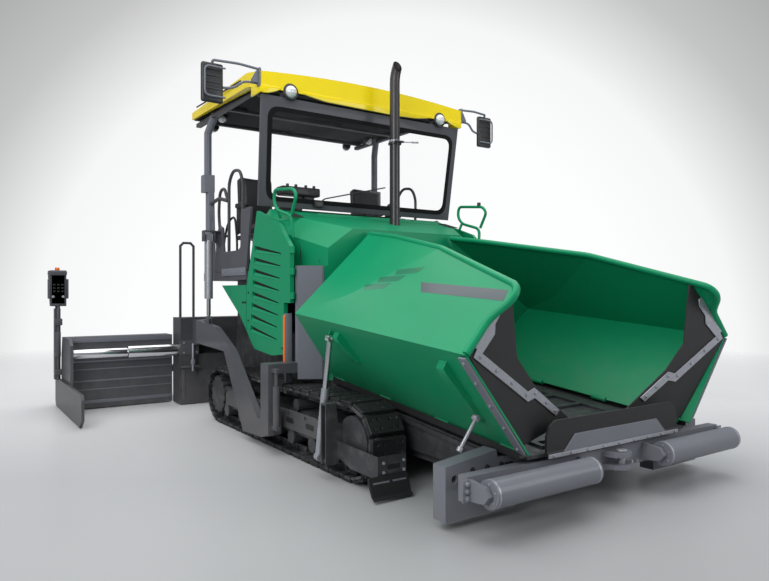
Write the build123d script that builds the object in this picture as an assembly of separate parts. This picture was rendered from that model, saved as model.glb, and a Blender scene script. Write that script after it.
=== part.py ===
"""Tracked asphalt paver: folding hopper wings, push rollers, augers and an extending screed.

Sizes are millimetres. +X points to the front, +Y to the machine's left and +Z up. The origin
lies on the ground, in the middle of the machine's length and width. Pieces that come in pairs
are drawn on the left, at +Y, and mirrored to the right.
"""
from build123d import *
from math import atan, cos, pi, radians, sin
import os

os.makedirs("parts", exist_ok=True)

# ---------------------------------------------------------------- tracks
track_outer_y = 1270
shoe_width = 305
shoe_height = 38
shoe_gap = 18
run_shoes = 17
turn_shoes = 5
chain_height = 62
sprocket_x = -1100
idler_x = 1690
shoe_pitch = (idler_x - sprocket_x) / run_shoes
chain_line_radius = turn_shoes * shoe_pitch / pi
track_end_radius = chain_line_radius + shoe_height
track_inside_radius = chain_line_radius - chain_height
track_inner_y = track_outer_y - shoe_width
track_top_z = 2 * track_end_radius
sprocket_teeth = 14
tooth_height = 22
lower_roller = 130
lower_roller_count = 7
upper_roller = 110
roller_sides = 14
idler_sides = 28
tube_sides = 10
wheel_gap = 1
beam_inset = 45
wheel_inset = 20
beam_y = (track_inner_y + beam_inset, track_outer_y - beam_inset)
wheel_y = (track_inner_y + wheel_inset, track_outer_y - wheel_inset)
beam_z = (track_end_radius - 110, track_end_radius + 100)
guard_plate = 10
guard_y = track_outer_y + 22
guard_front_x = 2100
guard_z = (128, 284)
deflector_drop = 110

# ---------------------------------------------------------------- tractor frame and conveyor
frame_half_width = 865
belly_z = 180
deck_z = 620
frame_rear_x = -1550
hopper_rear_x = 740
deck_front_x = 3010
deck_front_z = 410
deck_plate = 20
tunnel_inner_y = 640
tunnel_roof_z = 1000
tunnel_wall = 25
lane_divider = 60
chain_side_gap = 20
chain_width = 40
slat = (45, 22)
slat_pitch = 290
bumper_x = (2710, 2827)
bumper_outer_y = 1310
bumper_inner_y = 740
bumper_z = (50, 380)
bumper_slope = 51
tie_bore = 46
tie_y = 1240
tie_z = 300

# ---------------------------------------------------------------- hopper wings
hinge_y = 850
hinge_rear_z = 655
wing_front_x = 3050
hinge_front_z = 435
hinge_tube = 50
wing_sheet = 14
rim_tube = 46
rim_corner = 130
wing_width_y = 1350
rib_width = 70
rib_depth = 60
flap_sheet = 12
flap_lean = 0.155

# ---------------------------------------------------------------- wing cylinders
cylinder_pin = 28
pin_clearance = 1
wing_barrel_size = 58
wing_rod_size = 42
rod_clearance = 2
eye_length = 52
eye_size = 60
bracket_x = 1470
bracket_length = 80
bracket_plate = 12
wing_pin_low = (1380, 1365, 150)
wing_pin_high = (1466, 1315, 1056)

# ---------------------------------------------------------------- body
body_half_width = 1150
door_gap = 10
door_wall = 40
door_outer_y = body_half_width + door_gap + door_wall
hood_front_x = 700
hood_rear_x = -180
hood_wall = 25
wall_plate = 20
platform_z = 1620
platform_depth = 90
platform_rear_x = -1700
platform_front_x = -260
door_hinge_x = 575

# ---------------------------------------------------------------- screed
tow_x = 500
tow_z = 270
tow_pin = 60
arm_outer_y = 1360
arm_wall = 60
arm_rear_y = 1130
screed_front_x = -2330
screed_rear_x = -2640
screed_half_width = 1280
screed_bottom_z = 10
screed_top_z = 1080
slide_gap = 13
extension_rear_x = -2990
extension_outer_y = 2490
extension_gap = 8
extension_top_z = 860
extension_side = 32
extension_stroke = 1200
walkway_rear_x = -3218
walkway_z = (380, 420)
walkway_rise = 30
walkway_plate = 30
guide_tube_x = -2444
guide_tube_z = 680
tube_stage = 148
tube_inner_stage = 114
tube_step_y = 1880
tube_overlap = 40
bore_clearance = 6
bore_margin = 50
gate_inner_y = 2530
gate_plate = 30

# ---------------------------------------------------------------- push rollers
roller_x = 3135
roller_z = 290
roller_diameter = 166
roller_inner_y = 369
roller_outer_y = 1259
end_clearance = 8
pivot_x = 2870


# ---------------------------------------------------------------- ways to make a shape
def block(x, y, z):
    """Block between a low and a high place on each axis."""
    size = [high - low for low, high in (x, y, z)]
    centre = [(high + low) / 2 for low, high in (x, y, z)]
    return Pos(*centre) * Box(*size)


def prism(outline, axis, low, high, round_by=0):
    """Outline of the two other coordinates, carried along axis 0, 1 or 2 from low to high."""
    corners = []
    for first, second in outline:
        corner = [first, second]
        corner.insert(axis, low)
        corners.append(tuple(corner))
    if round_by:
        edge = FilletPolyline(*corners, radius=round_by, close=True)
        face = Face(Wire(edge.edges()))
    else:
        face = Face(Wire.make_polygon(corners))
    direction = [0, 0, 0]
    direction[axis] = 1
    return extrude(face, amount=high - low, dir=tuple(direction))


def rod(start, end, diameter):
    """Round bar between the centres of its two ends."""
    along = Vector(*end) - Vector(*start)
    return Solid.make_cylinder(diameter / 2, along.length, Plane(origin=start, z_dir=along))


def pipe(start, end, outer, inner):
    """Open tube between the centres of its two ends."""
    along = Vector(*end) - Vector(*start)
    bore = rod(Vector(*start) - along, Vector(*end) + along, inner)
    return rod(start, end, outer) - bore


def between(start, end, share):
    """Point at a share of the way from start to end."""
    return tuple(low + (high - low) * share for low, high in zip(start, end))


def eased(points, cut):
    """Points of a path with each inner corner cut off at a distance from it."""
    places = [Vector(*point) for point in points]
    path = [places[0]]
    for before, corner, after in zip(places[:-2], places[1:-1], places[2:]):
        path.append(corner + (before - corner).normalized() * cut)
        path.append(corner + (after - corner).normalized() * cut)
    return [*path, places[-1]]


def mitred_bar(points, diameter):
    """Bar along points, with flats in place of its round skin and a mitre at each inner point."""
    path = Polyline(*points)
    section = Plane(origin=path @ 0, z_dir=path % 0) * RegularPolygon(diameter / 2, tube_sides)
    return sweep(section, path=path, transition=Transition.RIGHT)


def joined(shapes):
    """One solid made of shapes that touch or overlap."""
    shapes = list(shapes)
    whole = shapes[0]
    for shape in shapes[1:]:
        whole = whole + shape
    return whole


def largest(shape):
    """The largest solid of a shape."""
    return shape.solids().sort_by(SortBy.VOLUME)[-1]


def flipped(shape):
    """The right-hand twin of a left-hand shape."""
    return mirror(shape, about=Plane.XZ)


def shell_of(loops):
    """Solid inside flat faces, each given by its corners."""
    return Solid(Shell([Face(Wire.make_polygon(loop)) for loop in loops]))


def folded_sheet(corners, panels, thickness):
    """Solid of a bent sheet. Each panel names its corners anticlockwise, seen from outside."""
    normals = {name: [] for name in corners}
    triangles = []
    for panel in panels:
        for second, third in zip(panel[1:-1], panel[2:]):
            triangles.append((panel[0], second, third))
        start, second, third = (Vector(*corners[name]) for name in panel[:3])
        normal = (second - start).cross(third - start).normalized()
        for name in panel:
            normals[name].append(normal)
    outside = {name: Vector(*place) for name, place in corners.items()}
    inside = {}
    for name, found in normals.items():
        mean = sum(found, Vector(0, 0, 0)).normalized()
        spread = sum(mean.dot(normal) for normal in found) / len(found)
        inside[name] = outside[name] - mean * (thickness / spread)
    edges = [(tri[i], tri[(i + 1) % 3]) for tri in triangles for i in range(3)]
    loops = []
    for first, second, third in triangles:
        loops.append([outside[first], outside[second], outside[third]])
        loops.append([inside[third], inside[second], inside[first]])
    for first, second in edges:
        if (second, first) not in edges:
            loops.append([outside[second], outside[first], inside[first]])
            loops.append([outside[second], inside[first], inside[second]])
    return shell_of(loops)


nodes = {}


def keep(name, *shapes):
    """Name one node of the machine."""
    nodes[name] = Compound(children=[solid for shape in shapes for solid in shape.solids()])


def keep_pair(name, *shapes):
    """Name the left node and its right twin."""
    keep(name + "_left", *shapes)
    keep(name + "_right", *[flipped(shape) for shape in shapes])


def keep_both(name, *shapes):
    """Name one node that holds the left pieces and their right twins."""
    keep(name, *shapes, *[flipped(shape) for shape in shapes])


# ---------------------------------------------------------------- hinge line of the wings
hinge_slope = (hinge_rear_z - hinge_front_z) / (wing_front_x - hopper_rear_x)
hinge_line = Vector(cos(atan(hinge_slope)), 0, -sin(atan(hinge_slope)))


def hinge_z(x):
    """Height of the wing hinge line at x."""
    return hinge_rear_z - hinge_slope * (x - hopper_rear_x)


def along_hinge(place, length):
    """Two ends of a bar that lies parallel to the hinge line, centred on place."""
    reach = hinge_line * (length / 2)
    return Vector(*place) - reach, Vector(*place) + reach


# ---------------------------------------------------------------- tracks
def chain_pin(number):
    """Place of one chain pin, counted from under the sprocket towards the front."""
    number = number % (2 * run_shoes + 2 * turn_shoes)
    upper = number - run_shoes - turn_shoes
    if number <= run_shoes:
        centre, angle = sprocket_x + number * shoe_pitch, -90
    elif upper <= 0:
        centre, angle = idler_x, -90 + 180 * (number - run_shoes) / turn_shoes
    elif upper <= run_shoes:
        centre, angle = idler_x - upper * shoe_pitch, 90
    else:
        centre, angle = sprocket_x, 90 + 180 * (upper - run_shoes) / turn_shoes
    return (centre + chain_line_radius * cos(radians(angle)),
            track_end_radius + chain_line_radius * sin(radians(angle)))


def track():
    """Loop of flat shoes, each from one chain pin to the next, with gaps between them."""
    outline = []
    for number in range(2 * run_shoes + 2 * turn_shoes):
        (x0, z0), (x1, z1) = chain_pin(number), chain_pin(number + 1)
        length = ((x1 - x0) ** 2 + (z1 - z0) ** 2) ** 0.5
        along = ((x1 - x0) / length, (z1 - z0) / length)
        for distance, height in ((shoe_gap / 2, 0), (shoe_gap / 2, shoe_height),
                                 (length - shoe_gap / 2, shoe_height), (length - shoe_gap / 2, 0)):
            outline.append((x0 + along[0] * distance + along[1] * height,
                            z0 + along[1] * distance - along[0] * height))
    loop = prism(outline, 1, track_inner_y, track_outer_y)
    return loop - wheel_row_space(track_inside_radius, track_inner_y - 1, track_outer_y + 1)


def wheel_row_space(radius, low_y, high_y):
    """Long round-ended space between the two end wheels."""
    middle = block((sprocket_x, idler_x), (low_y, high_y),
                   (track_end_radius - radius, track_end_radius + radius))
    ends = [rod((x, low_y, track_end_radius), (x, high_y, track_end_radius), 2 * radius)
            for x in (sprocket_x, idler_x)]
    return joined([middle, *ends])


def roller(x, z, diameter, sides):
    """Track roller with flats in place of its round skin."""
    turns = [2 * pi * side / sides for side in range(sides)]
    outline = [(x + diameter / 2 * cos(turn), z + diameter / 2 * sin(turn)) for turn in turns]
    return prism(outline, 1, *wheel_y)


def sprocket():
    """Driven wheel with square teeth that reach into the chain."""
    outline = []
    tip = track_inside_radius - wheel_gap
    root = tip - tooth_height
    for number in range(sprocket_teeth):
        for share, radius in ((0.0, root), (0.3, root), (0.4, tip), (0.85, tip)):
            angle = 2 * pi * (number + share) / sprocket_teeth
            outline.append((sprocket_x + radius * cos(angle), track_end_radius + radius * sin(angle)))
    return prism(outline, 1, *wheel_y)


def cylinder_bracket():
    """Two plates under a cap, beside the wing cylinder's lower eye, with the pin that holds it."""
    outline = [(beam_y[1] - 5, 200), (beam_y[1] - 5, 400), (guard_y, 430), (guard_y + 20, 570),
               (guard_y + 105, 570), (guard_y + 105, 120), (guard_y, 120), (guard_y, 200)]
    low, high = bracket_x, bracket_x + bracket_length
    pieces = [prism(outline, 0, low, low + bracket_plate), prism(outline, 0, high - bracket_plate, high),
              block((low, high), (guard_y + 20, guard_y + 105), (565, 577)),
              block((low, high), (beam_y[1] - 5, guard_y + guard_plate), (200, 300))]
    reach = (bracket_x + bracket_length - wing_pin_low[0]) * 2
    pin = rod(*along_hinge(wing_pin_low, reach), cylinder_pin)
    pieces.append(pin - block((wing_pin_low[0] - reach, wing_pin_low[0] - eye_length / 2 - 12),
                              (guard_y, guard_y + 200), (0, 400)))
    return pieces


def track_guard():
    """Plate beside and in front of the track's front end."""
    side = prism([(bracket_x, 200), (bracket_x, 300), (1750, guard_z[1] + 6), (guard_front_x, guard_z[1]),
                  (guard_front_x, guard_z[0] + 40), (guard_front_x - 40, guard_z[0]), (1750, guard_z[0])],
                 1, guard_y, guard_y + guard_plate)
    front = block((guard_front_x - guard_plate, guard_front_x), (track_inner_y + 100, guard_y + guard_plate), guard_z)
    return [side, front]


def track_frame():
    """Side beam with its sprocket, front idler, rollers, guard and cylinder bracket."""
    pieces = [block((sprocket_x, idler_x), beam_y, beam_z), sprocket()]
    pieces.append(roller(idler_x, track_end_radius, 2 * (track_inside_radius - wheel_gap), idler_sides))
    span = idler_x - sprocket_x - 4 * lower_roller
    for number in range(lower_roller_count):
        x = sprocket_x + 2 * lower_roller + span * number / (lower_roller_count - 1)
        z = track_end_radius - track_inside_radius + lower_roller / 2
        pieces.append(roller(x, z, lower_roller, roller_sides))
    for share in (0.33, 0.67):
        x = sprocket_x + (idler_x - sprocket_x) * share
        z = track_end_radius + track_inside_radius - upper_roller / 2
        pieces.append(roller(x, z, upper_roller, roller_sides))
    return joined(pieces + cylinder_bracket() + track_guard())


def deflector():
    """Rubber flap that hangs from the guard in front of the track."""
    outline = [(guard_front_x, guard_z[0] + 30), (guard_front_x + 14, guard_z[0] + 30),
               (guard_front_x + 60, guard_z[0] - deflector_drop + 20),
               (guard_front_x + 90, guard_z[0] - deflector_drop),
               (guard_front_x + 76, guard_z[0] - deflector_drop),
               (guard_front_x + 46, guard_z[0] - deflector_drop + 20), (guard_front_x, guard_z[0])]
    return prism(outline, 1, track_inner_y + 100, bumper_outer_y + 75)


keep_pair("track", track())
keep_pair("track_frame", track_frame())
keep_both("deflector_rubbers", deflector())

# ---------------------------------------------------------------- tractor frame
axle_tube_z = (belly_z + 70, belly_z + 220)
axle_tube_x = ((-700, -450), (900, 1150))
ledge = (25, 30)


def tractor_frame():
    """Belly between the tracks, with the deck's slope to the front and two cross tubes."""
    outline = [(frame_rear_x, belly_z + 20), (frame_rear_x + 100, belly_z), (2450, belly_z),
               (bumper_x[0], belly_z + 40), (bumper_x[0], deck_front_z - deck_plate),
               (deck_front_x, deck_front_z - deck_plate), (deck_front_x, deck_front_z),
               (hopper_rear_x, deck_z), (frame_rear_x, deck_z)]
    inner_y = hinge_y - hinge_tube / 2 - 5
    wide = prism(outline, 1, -inner_y, inner_y)
    rear = block((frame_rear_x + 100, hopper_rear_x - 10), (-frame_half_width, frame_half_width),
                 (belly_z + 60, deck_z))
    side = prism([(hopper_rear_x - 11, belly_z + 60), (bumper_x[0], belly_z + 60),
                  (bumper_x[0], hinge_z(bumper_x[0]) - 70), (hopper_rear_x - 11, hinge_z(hopper_rear_x) - 70)],
                 1, -frame_half_width, frame_half_width)
    pieces = [wide, rear, side]
    for x in axle_tube_x:
        pieces.append(block(x, (-beam_y[0], beam_y[0]), axle_tube_z))
    low_z = hinge_z(hopper_rear_x) - 110
    drop = hinge_slope * (bumper_x[0] - hopper_rear_x)
    for side_y in (frame_half_width, -frame_half_width - ledge[0]):
        pieces.append(prism([(hopper_rear_x, low_z), (bumper_x[0], low_z - drop),
                             (bumper_x[0], low_z - drop + ledge[1]), (hopper_rear_x, low_z + ledge[1])],
                            1, side_y - 1, side_y + ledge[0] + 1))
    return joined(pieces)


keep("frame", tractor_frame())


def tunnel():
    """Tunnel over the two conveyor lanes, from the hopper to the augers."""
    x = (frame_rear_x, hood_front_x - wall_plate)
    outer = block(x, (-frame_half_width, frame_half_width), (deck_z, tunnel_roof_z))
    way = block((x[0] - 1, x[1] + 1), (-tunnel_inner_y, tunnel_inner_y),
                (deck_z - 1, tunnel_roof_z - tunnel_wall))
    return outer - way


keep("tunnel", tunnel())


def conveyor_z(x):
    """Height of the deck at x."""
    if x < hopper_rear_x:
        return deck_z
    return deck_z - (deck_z - deck_front_z) * (x - hopper_rear_x) / (deck_front_x - hopper_rear_x)


def conveyor_lane():
    """Two chains with slats between them, along one side of the deck."""
    low_y = lane_divider / 2 + chain_side_gap
    high_y = tunnel_inner_y - chain_side_gap
    front_x = deck_front_x - deck_plate - slat[0]
    pieces = []
    for y in (low_y, high_y - chain_width):
        outline = [(frame_rear_x, deck_z), (hopper_rear_x, deck_z), (front_x, conveyor_z(front_x)),
                   (front_x, conveyor_z(front_x) + slat[1]), (hopper_rear_x, deck_z + slat[1]),
                   (frame_rear_x, deck_z + slat[1])]
        pieces.append(prism(outline, 1, y, y + chain_width))
    count = int((front_x - frame_rear_x) / slat_pitch)
    for number in range(count + 1):
        x = frame_rear_x + chain_side_gap + number * slat_pitch
        far = x + slat[0]
        pieces.append(prism([(x, conveyor_z(x)), (far, conveyor_z(far)), (far, conveyor_z(far) + slat[1]),
                             (x, conveyor_z(x) + slat[1])], 1, low_y + 1, high_y - 1))
    return joined(pieces)


keep_both("conveyors", conveyor_lane())

# ---------------------------------------------------------------- engine, hood and walls
engine_x = (-140, 560)
engine_half_width = 420
engine_top_z = 1740
hood_bottom_z = 1640
keep("engine", block(engine_x, (-engine_half_width, engine_half_width), (tunnel_roof_z, engine_top_z)))

# x, top half width, top z, shoulder half width, shoulder z
hood_sections = ((hood_rear_x, body_half_width - 90, 2225, body_half_width, 2090),
                 (250, 930, 2106, body_half_width, 1960),
                 (hood_front_x, 640, 1985, 900, 1800))
intake_x = (-150, -40)
intake_y = (-600, 380)
intake_depth = 70
grille_slat = (8, 55)
grille_pitch = 49


def hood_top_z(x):
    """Height of the hood's middle at x."""
    for (rear_x, _, rear_z, _, _), (front_x, _, front_z, _, _) in zip(hood_sections[:-1], hood_sections[1:]):
        if x <= front_x:
            return rear_z + (front_z - rear_z) * (x - rear_x) / (front_x - rear_x)
    return hood_sections[-1][2]


def hood_body(inset):
    """Hood of flat panels between its sections, drawn in by inset."""
    rings = []
    last = len(hood_sections) - 1
    for number, (x, top_y, top_z, side_y, side_z) in enumerate(hood_sections):
        top_y, top_z = top_y - inset * 0.5, top_z - inset
        side_y, side_z = side_y - inset, side_z - inset * 0.5
        low_z = hood_bottom_z - (1 if inset else 0)
        end = inset * ((number == 0) - (number == last))
        half = [(side_y, low_z), (side_y, side_z), (top_y, top_z)]
        ring = half + [(-y, z) for y, z in reversed(half)]
        rings.append([Vector(x + end, y, z) for y, z in ring])
    loops = [list(reversed(rings[0])), rings[-1]]
    count = len(rings[0])
    for rear, front in zip(rings[:-1], rings[1:]):
        for number in range(count):
            beside = (number + 1) % count
            if number < count / 2:
                loops.append([rear[number], rear[beside], front[beside]])
                loops.append([rear[number], front[beside], front[number]])
            else:
                loops.append([rear[number], rear[beside], front[number]])
                loops.append([rear[beside], front[beside], front[number]])
    return shell_of(loops)


def hood():
    """Hood shell with the sunken opening of the air intake behind its crown."""
    shell = hood_body(0) - hood_body(hood_wall)
    top = hood_top_z(intake_x[0])
    tray = block((intake_x[0] - 8, intake_x[1] + 8), (intake_y[0] - 8, intake_y[1] + 8),
                 (top - intake_depth - 8, top - 20))
    opening = block(intake_x, intake_y, (top - intake_depth, top + 60))
    return (shell + tray) - opening


def grille():
    """Row of upright slats in the air intake, on a thin back plate."""
    base_z = hood_top_z(intake_x[0]) - intake_depth
    pieces = [block((intake_x[0] + 1, intake_x[1] - 1), (intake_y[0] + 1, intake_y[1] - 1),
                    (base_z, base_z + 6))]
    count = int((intake_y[1] - intake_y[0]) / grille_pitch)
    for number in range(1, count):
        y = intake_y[0] + grille_pitch * number
        pieces.append(block((intake_x[0] + 4, intake_x[1] - 4), (y - grille_slat[0] / 2, y + grille_slat[0] / 2),
                            (base_z, base_z + grille_slat[1])))
    return joined(pieces)


keep("hood", hood())
keep("grille", grille())


def hopper_wall():
    """Rear wall of the hopper, open over the conveyors, with the hood standing on it."""
    x = (hood_front_x - wall_plate, hood_front_x)
    half_width = hood_sections[-1][3] + 35
    plate = block(x, (-half_width, half_width), (deck_z, hood_bottom_z))
    way = block((x[0] - 1, x[1] + 1), (-tunnel_inner_y, tunnel_inner_y),
                (deck_z - 1, tunnel_roof_z - tunnel_wall))
    return plate - way


keep("hopper_wall", hopper_wall())

post_rear_x = door_hinge_x - 20
post_front_x = door_hinge_x + 25


def bulkhead():
    """Slanting side cover between the door's hinge post and the hopper, with its post."""
    wall_y = hood_sections[-1][3] + 60
    plan = [(post_front_x, body_half_width - 20), (post_front_x, body_half_width), (hood_front_x, wall_y),
            (hood_front_x, wall_y - 20)]
    cover = prism(plan, 2, track_top_z + 40, hood_bottom_z)
    post = block((post_rear_x, post_front_x), (body_half_width - 60, body_half_width), (785, hood_bottom_z))
    return cover + post


keep_both("bulkheads", bulkhead())

keep("rear_body", block((frame_rear_x + 40, platform_front_x), (-frame_half_width, frame_half_width),
                        (tunnel_roof_z, platform_z - platform_depth)))

# ---------------------------------------------------------------- side doors
door_rear_x = -430
door_front_x = 552
door_outline = [(door_rear_x, 1480), (-300, 1821), (-175, 2195), (300, 2040), (door_front_x, 1810),
                (door_front_x, 1310), (425, 1310), (425, 845), (167, 815), (-238, 850), (door_rear_x, 1015)]
door_y = (door_outer_y - door_wall, door_outer_y)
louvre_count = 8
louvre_pitch = 112
louvre_step = 14
louvre_top = (-231, 1860)
louvre_size = (600, 70)
louvre_drop = 100
louvre_depth = 25
door_hinge_tube = 40
door_hinge_z = (1345, 1560, 1750)
door_hinge_length = 60


def side_door():
    """Service door with a row of slanting louvres and its hinge barrels."""
    door = prism(door_outline, 1, *door_y)
    for number in range(louvre_count):
        x = louvre_top[0] - louvre_step * number
        z = louvre_top[1] - louvre_pitch * number
        slot = [(x, z), (x + louvre_size[0], z - louvre_drop),
                (x + louvre_size[0], z - louvre_drop - louvre_depth), (x, z - louvre_size[1])]
        door = door - prism(slot, 1, door_y[1] - louvre_depth, door_y[1] + 1)
    hinge_line_y = door_outer_y - 15
    for z in door_hinge_z:
        door = door + rod((door_hinge_x, hinge_line_y, z), (door_hinge_x, hinge_line_y, z + door_hinge_length),
                          door_hinge_tube)
        door = door + block((door_front_x - 12, door_hinge_x), (door_outer_y - 30, door_outer_y - 2),
                            (z, z + door_hinge_length))
    return door


keep_pair("side_door", side_door())

panel_front_x = door_rear_x - door_gap
keep_both("side_panels", prism([(panel_front_x, 1475), (panel_front_x, 1025), (-600, 1160), (-850, 1310),
                                (-1120, 1475)], 1, *door_y))

# ---------------------------------------------------------------- platform
side_wall_plate = 30
lift_x = -1200
lift_y = 1320
lift_top = 2000
lift_eye = 1105
lift_barrel_size = 90
lift_rod_size = 45
lift_pin = 32
lift_eye_size = 70
lift_eye_width = 22
lift_lug = 8
lift_travel = 175
lift_plate = 12
lift_arm = 14
lift_swing_room = 32


def lift_bracket():
    """Two plates under an arm from the platform's side wall, with the lift cylinder's upper pin."""
    half = lift_barrel_size / 2
    gap = half + 5
    arm_z = (lift_top + lift_swing_room + 28, lift_top + lift_swing_room + 28 + lift_arm)
    pieces = [prism([(lift_x - half, lift_top - half), (lift_x + half, lift_top - half),
                     (lift_x + half, arm_z[1]), (lift_x - half, arm_z[1])], 1, y, y + lift_plate)
              for y in (lift_y - gap - lift_plate, lift_y + gap)]
    pieces.append(block((lift_x - half, lift_x + half), (door_outer_y - 2, lift_y + gap + lift_plate), arm_z))
    pieces.append(prism([(door_outer_y - 2, lift_top - 120), (lift_y - gap - lift_plate + 1, lift_top - half + 5),
                         (lift_y - gap - lift_plate + 1, arm_z[1]), (door_outer_y - 2, arm_z[1])],
                        0, lift_x - lift_plate / 2, lift_x + lift_plate / 2))
    pieces.append(rod((lift_x, lift_y - gap - lift_plate, lift_top), (lift_x, lift_y + gap + lift_plate, lift_top),
                      lift_pin))
    return pieces


def platform():
    """Operator's deck with its edge beams, standing on the rear body."""
    z = (platform_z - platform_depth, platform_z)
    deck = block((platform_rear_x, panel_front_x), (-door_outer_y, door_outer_y), z)
    front = block((panel_front_x - 10, platform_front_x), (1 - door_y[0], door_y[0] - 1), z)
    return deck + front


def platform_side():
    """Side wall of the platform with the lift cylinder's bracket."""
    wall = prism([(lift_x - 110, platform_z), (lift_x - 110, 2060), (lift_x + 20, 2130), (-330, 2260),
                  (-450, platform_z)], 1, door_outer_y - side_wall_plate, door_outer_y)
    return joined([wall, *lift_bracket()])


keep("platform", platform())
keep_both("platform_sides", platform_side())

console_half_width = 700
console_x = (-620, -300)
console_top_z = 2250
keep("console", prism([(console_x[1], platform_z), (console_x[1], console_top_z - 60),
                       (console_x[1] - 30, console_top_z), (console_x[1] - 110, console_top_z),
                       (console_x[0], console_top_z - 190), (console_x[0], console_top_z - 230),
                       (console_x[0] + 120, console_top_z - 300), (console_x[0] + 170, platform_z)],
                      1, -console_half_width, console_half_width))

seat_y = 750
seat_half_width = 230
seat_x = (-1230, -760)
seat_top_z = 2140
seat_depth = 120
seat_back_z = 2750
seat_back = 100


def seat():
    """Seat with a sloped back on its pedestal."""
    side_y = (seat_y - seat_half_width, seat_y + seat_half_width)
    base = block((seat_x[0] + 80, seat_x[1] - 90), (seat_y - 130, seat_y + 130),
                 (platform_z, seat_top_z - seat_depth))
    cushion = block(seat_x, side_y, (seat_top_z - seat_depth, seat_top_z))
    lean = 90
    back = prism([(seat_x[0] - 5, seat_top_z - seat_depth + 20), (seat_x[0] + seat_back, seat_top_z - 20),
                  (seat_x[0] + seat_back - lean, seat_back_z), (seat_x[0] - lean, seat_back_z)],
                 1, side_y[0] + 15, side_y[1] - 15)
    return joined([base, cushion, back])


keep_both("seats", seat())

# ---------------------------------------------------------------- handrails
rail_tube = 34
grab_tube = 26
grab_y = body_half_width - 60
rail_x = (-1440, -1150)
rail_top_z = 2620


def grab_hoop():
    """Low hoop on the hood's edge, beside the windscreen."""
    foot_z = hood_top_z(470) - 250
    points = [(230, grab_y, foot_z), (230, grab_y, 2190), (-50, grab_y, 2215), (0, grab_y, 2400),
              (250, grab_y, 2370), (330, grab_y, 2190), (470, grab_y, 2140), (470, grab_y, foot_z)]
    return mitred_bar(points, grab_tube) - hood_body(0)


def rear_rails():
    """Tall hoops beside the rear of the platform and the rail between them."""
    y = door_outer_y - side_wall_plate - rail_tube
    hoop = mitred_bar(eased([(rail_x[0], y, platform_z), (rail_x[0], y, rail_top_z), (rail_x[1], y, rail_top_z),
                             (rail_x[1], y, platform_z)], 60), rail_tube)
    bar = rod((rail_x[0], y, 2150), (rail_x[1], y, 2150), rail_tube - 6)
    return [hoop, bar]


keep_both("handrails", largest(grab_hoop()), joined(rear_rails()))

# ---------------------------------------------------------------- windscreen
screen_low = (-185, 2248)
screen_high = (-43, 3300)
screen_half_low = 1194
screen_half_high = 1223
screen_wall = 40
screen_side = 95
screen_foot = 70
screen_head = 190
screen_corner = 120
glass_sheet = 6
glass_inset = 15
screen_height = ((screen_high[0] - screen_low[0]) ** 2 + (screen_high[1] - screen_low[1]) ** 2) ** 0.5
screen_plane = Plane(origin=(screen_low[0], 0, screen_low[1]), x_dir=(0, 1, 0),
                     z_dir=(screen_high[1] - screen_low[1], 0, screen_low[0] - screen_high[0]))


def screen_outline(inset, foot, head):
    """Outline of the windscreen, drawn in from its edges."""
    low = screen_half_low - inset
    high = screen_half_high - inset
    return [(-low, foot), (low, foot), (high, screen_height - head), (-high, screen_height - head)]


def screen_slab(outline, low, high, corner):
    """Slab on the windscreen's slope, between two depths."""
    points = [screen_plane.offset(low) * Pos(u, v) for u, v in outline]
    places = [point.position for point in points]
    if corner:
        edge = FilletPolyline(*places, radius=corner, close=True)
        face = Face(Wire(edge.edges()))
    else:
        face = Face(Wire.make_polygon(places))
    return extrude(face, amount=high - low, dir=screen_plane.z_dir)


window = screen_outline(screen_side, screen_foot, screen_head)
keep("windscreen_frame", screen_slab(screen_outline(0, 0, 0), 0, screen_wall, 0)
     - screen_slab(window, -1, screen_wall + 1, screen_corner))
keep("windscreen_glass", screen_slab(window, glass_inset, glass_inset + glass_sheet, screen_corner))

# ---------------------------------------------------------------- roof
# x, half width, edge foot z, edge top z, crown z
roof_sections = ((20, 1250, 3350, 3500, 3560), (-300, 1255, 3420, 3560, 3660), (-2130, 1200, 3500, 3580, 3670))


def roof():
    """Moulded roof: a deep front edge and a crowned top, in straight lofts between sections."""
    wires = []
    for x, half, foot, edge, crown in roof_sections:
        top = ThreePointArc((x, half, edge), (x, 0, crown), (x, -half, edge))
        rest = Polyline((x, -half, edge), (x, -half, foot), (x, half, foot), (x, half, edge))
        wires.append(Wire([*top.edges(), *rest.edges()]))
    return Solid.make_loft(wires, ruled=True)


keep("roof", roof())

post_x = -1676
post_y = 1162
post_tube = 85
post_clamp_z = (2560, 2760)
post_plate = 65


def roof_post():
    """Rear post that bends inwards under the roof, on its column of two plates."""
    tube = mitred_bar([(post_x, post_y, post_clamp_z[0] + 80), (post_x, post_y, 3250),
                       (post_x + 150, post_y - 60, 3520)], post_tube)
    clamp = block((post_x - 65, post_x + 65), (post_y - 60, post_y + 60), post_clamp_z)
    column = prism([(post_x - 20, platform_z), (post_x + 200, platform_z), (post_x + 130, 1900),
                    (post_x + 90, post_clamp_z[0]), (post_x - 20, post_clamp_z[0])], 1,
                   post_y - 45, post_y + post_plate - 45)
    return joined([tube, clamp, column])


keep_both("roof_posts", roof_post() - roof())

mirror_centre = (-70, 1686, 3330)
mirror_half = (25, 100, 180)
mirror_tube = 24


def mirror_arm():
    """Mirror on two tubes from the roof's front corner."""
    x, y, z = mirror_centre
    depth, wide, high = mirror_half
    housing = prism([(y - wide, z - high), (y + wide, z - high), (y + wide, z + high), (y - wide, z + high)],
                    0, x - depth, x + depth, 40)
    upper = mitred_bar([(-40, 1225, 3440), (-40, 1500, 3530), (x, y, 3530), (x, y, z + high - 20)], mirror_tube)
    lower = mitred_bar([(-160, 1225, 3440), (-160, 1480, 3400), (x - depth - 14, y, z + 60)], mirror_tube)
    plate = block((x - depth - 30, x - depth + 2), (y - 25, y + 25), (z - 120, z + 90))
    return joined([upper, housing, plate, lower])


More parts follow.
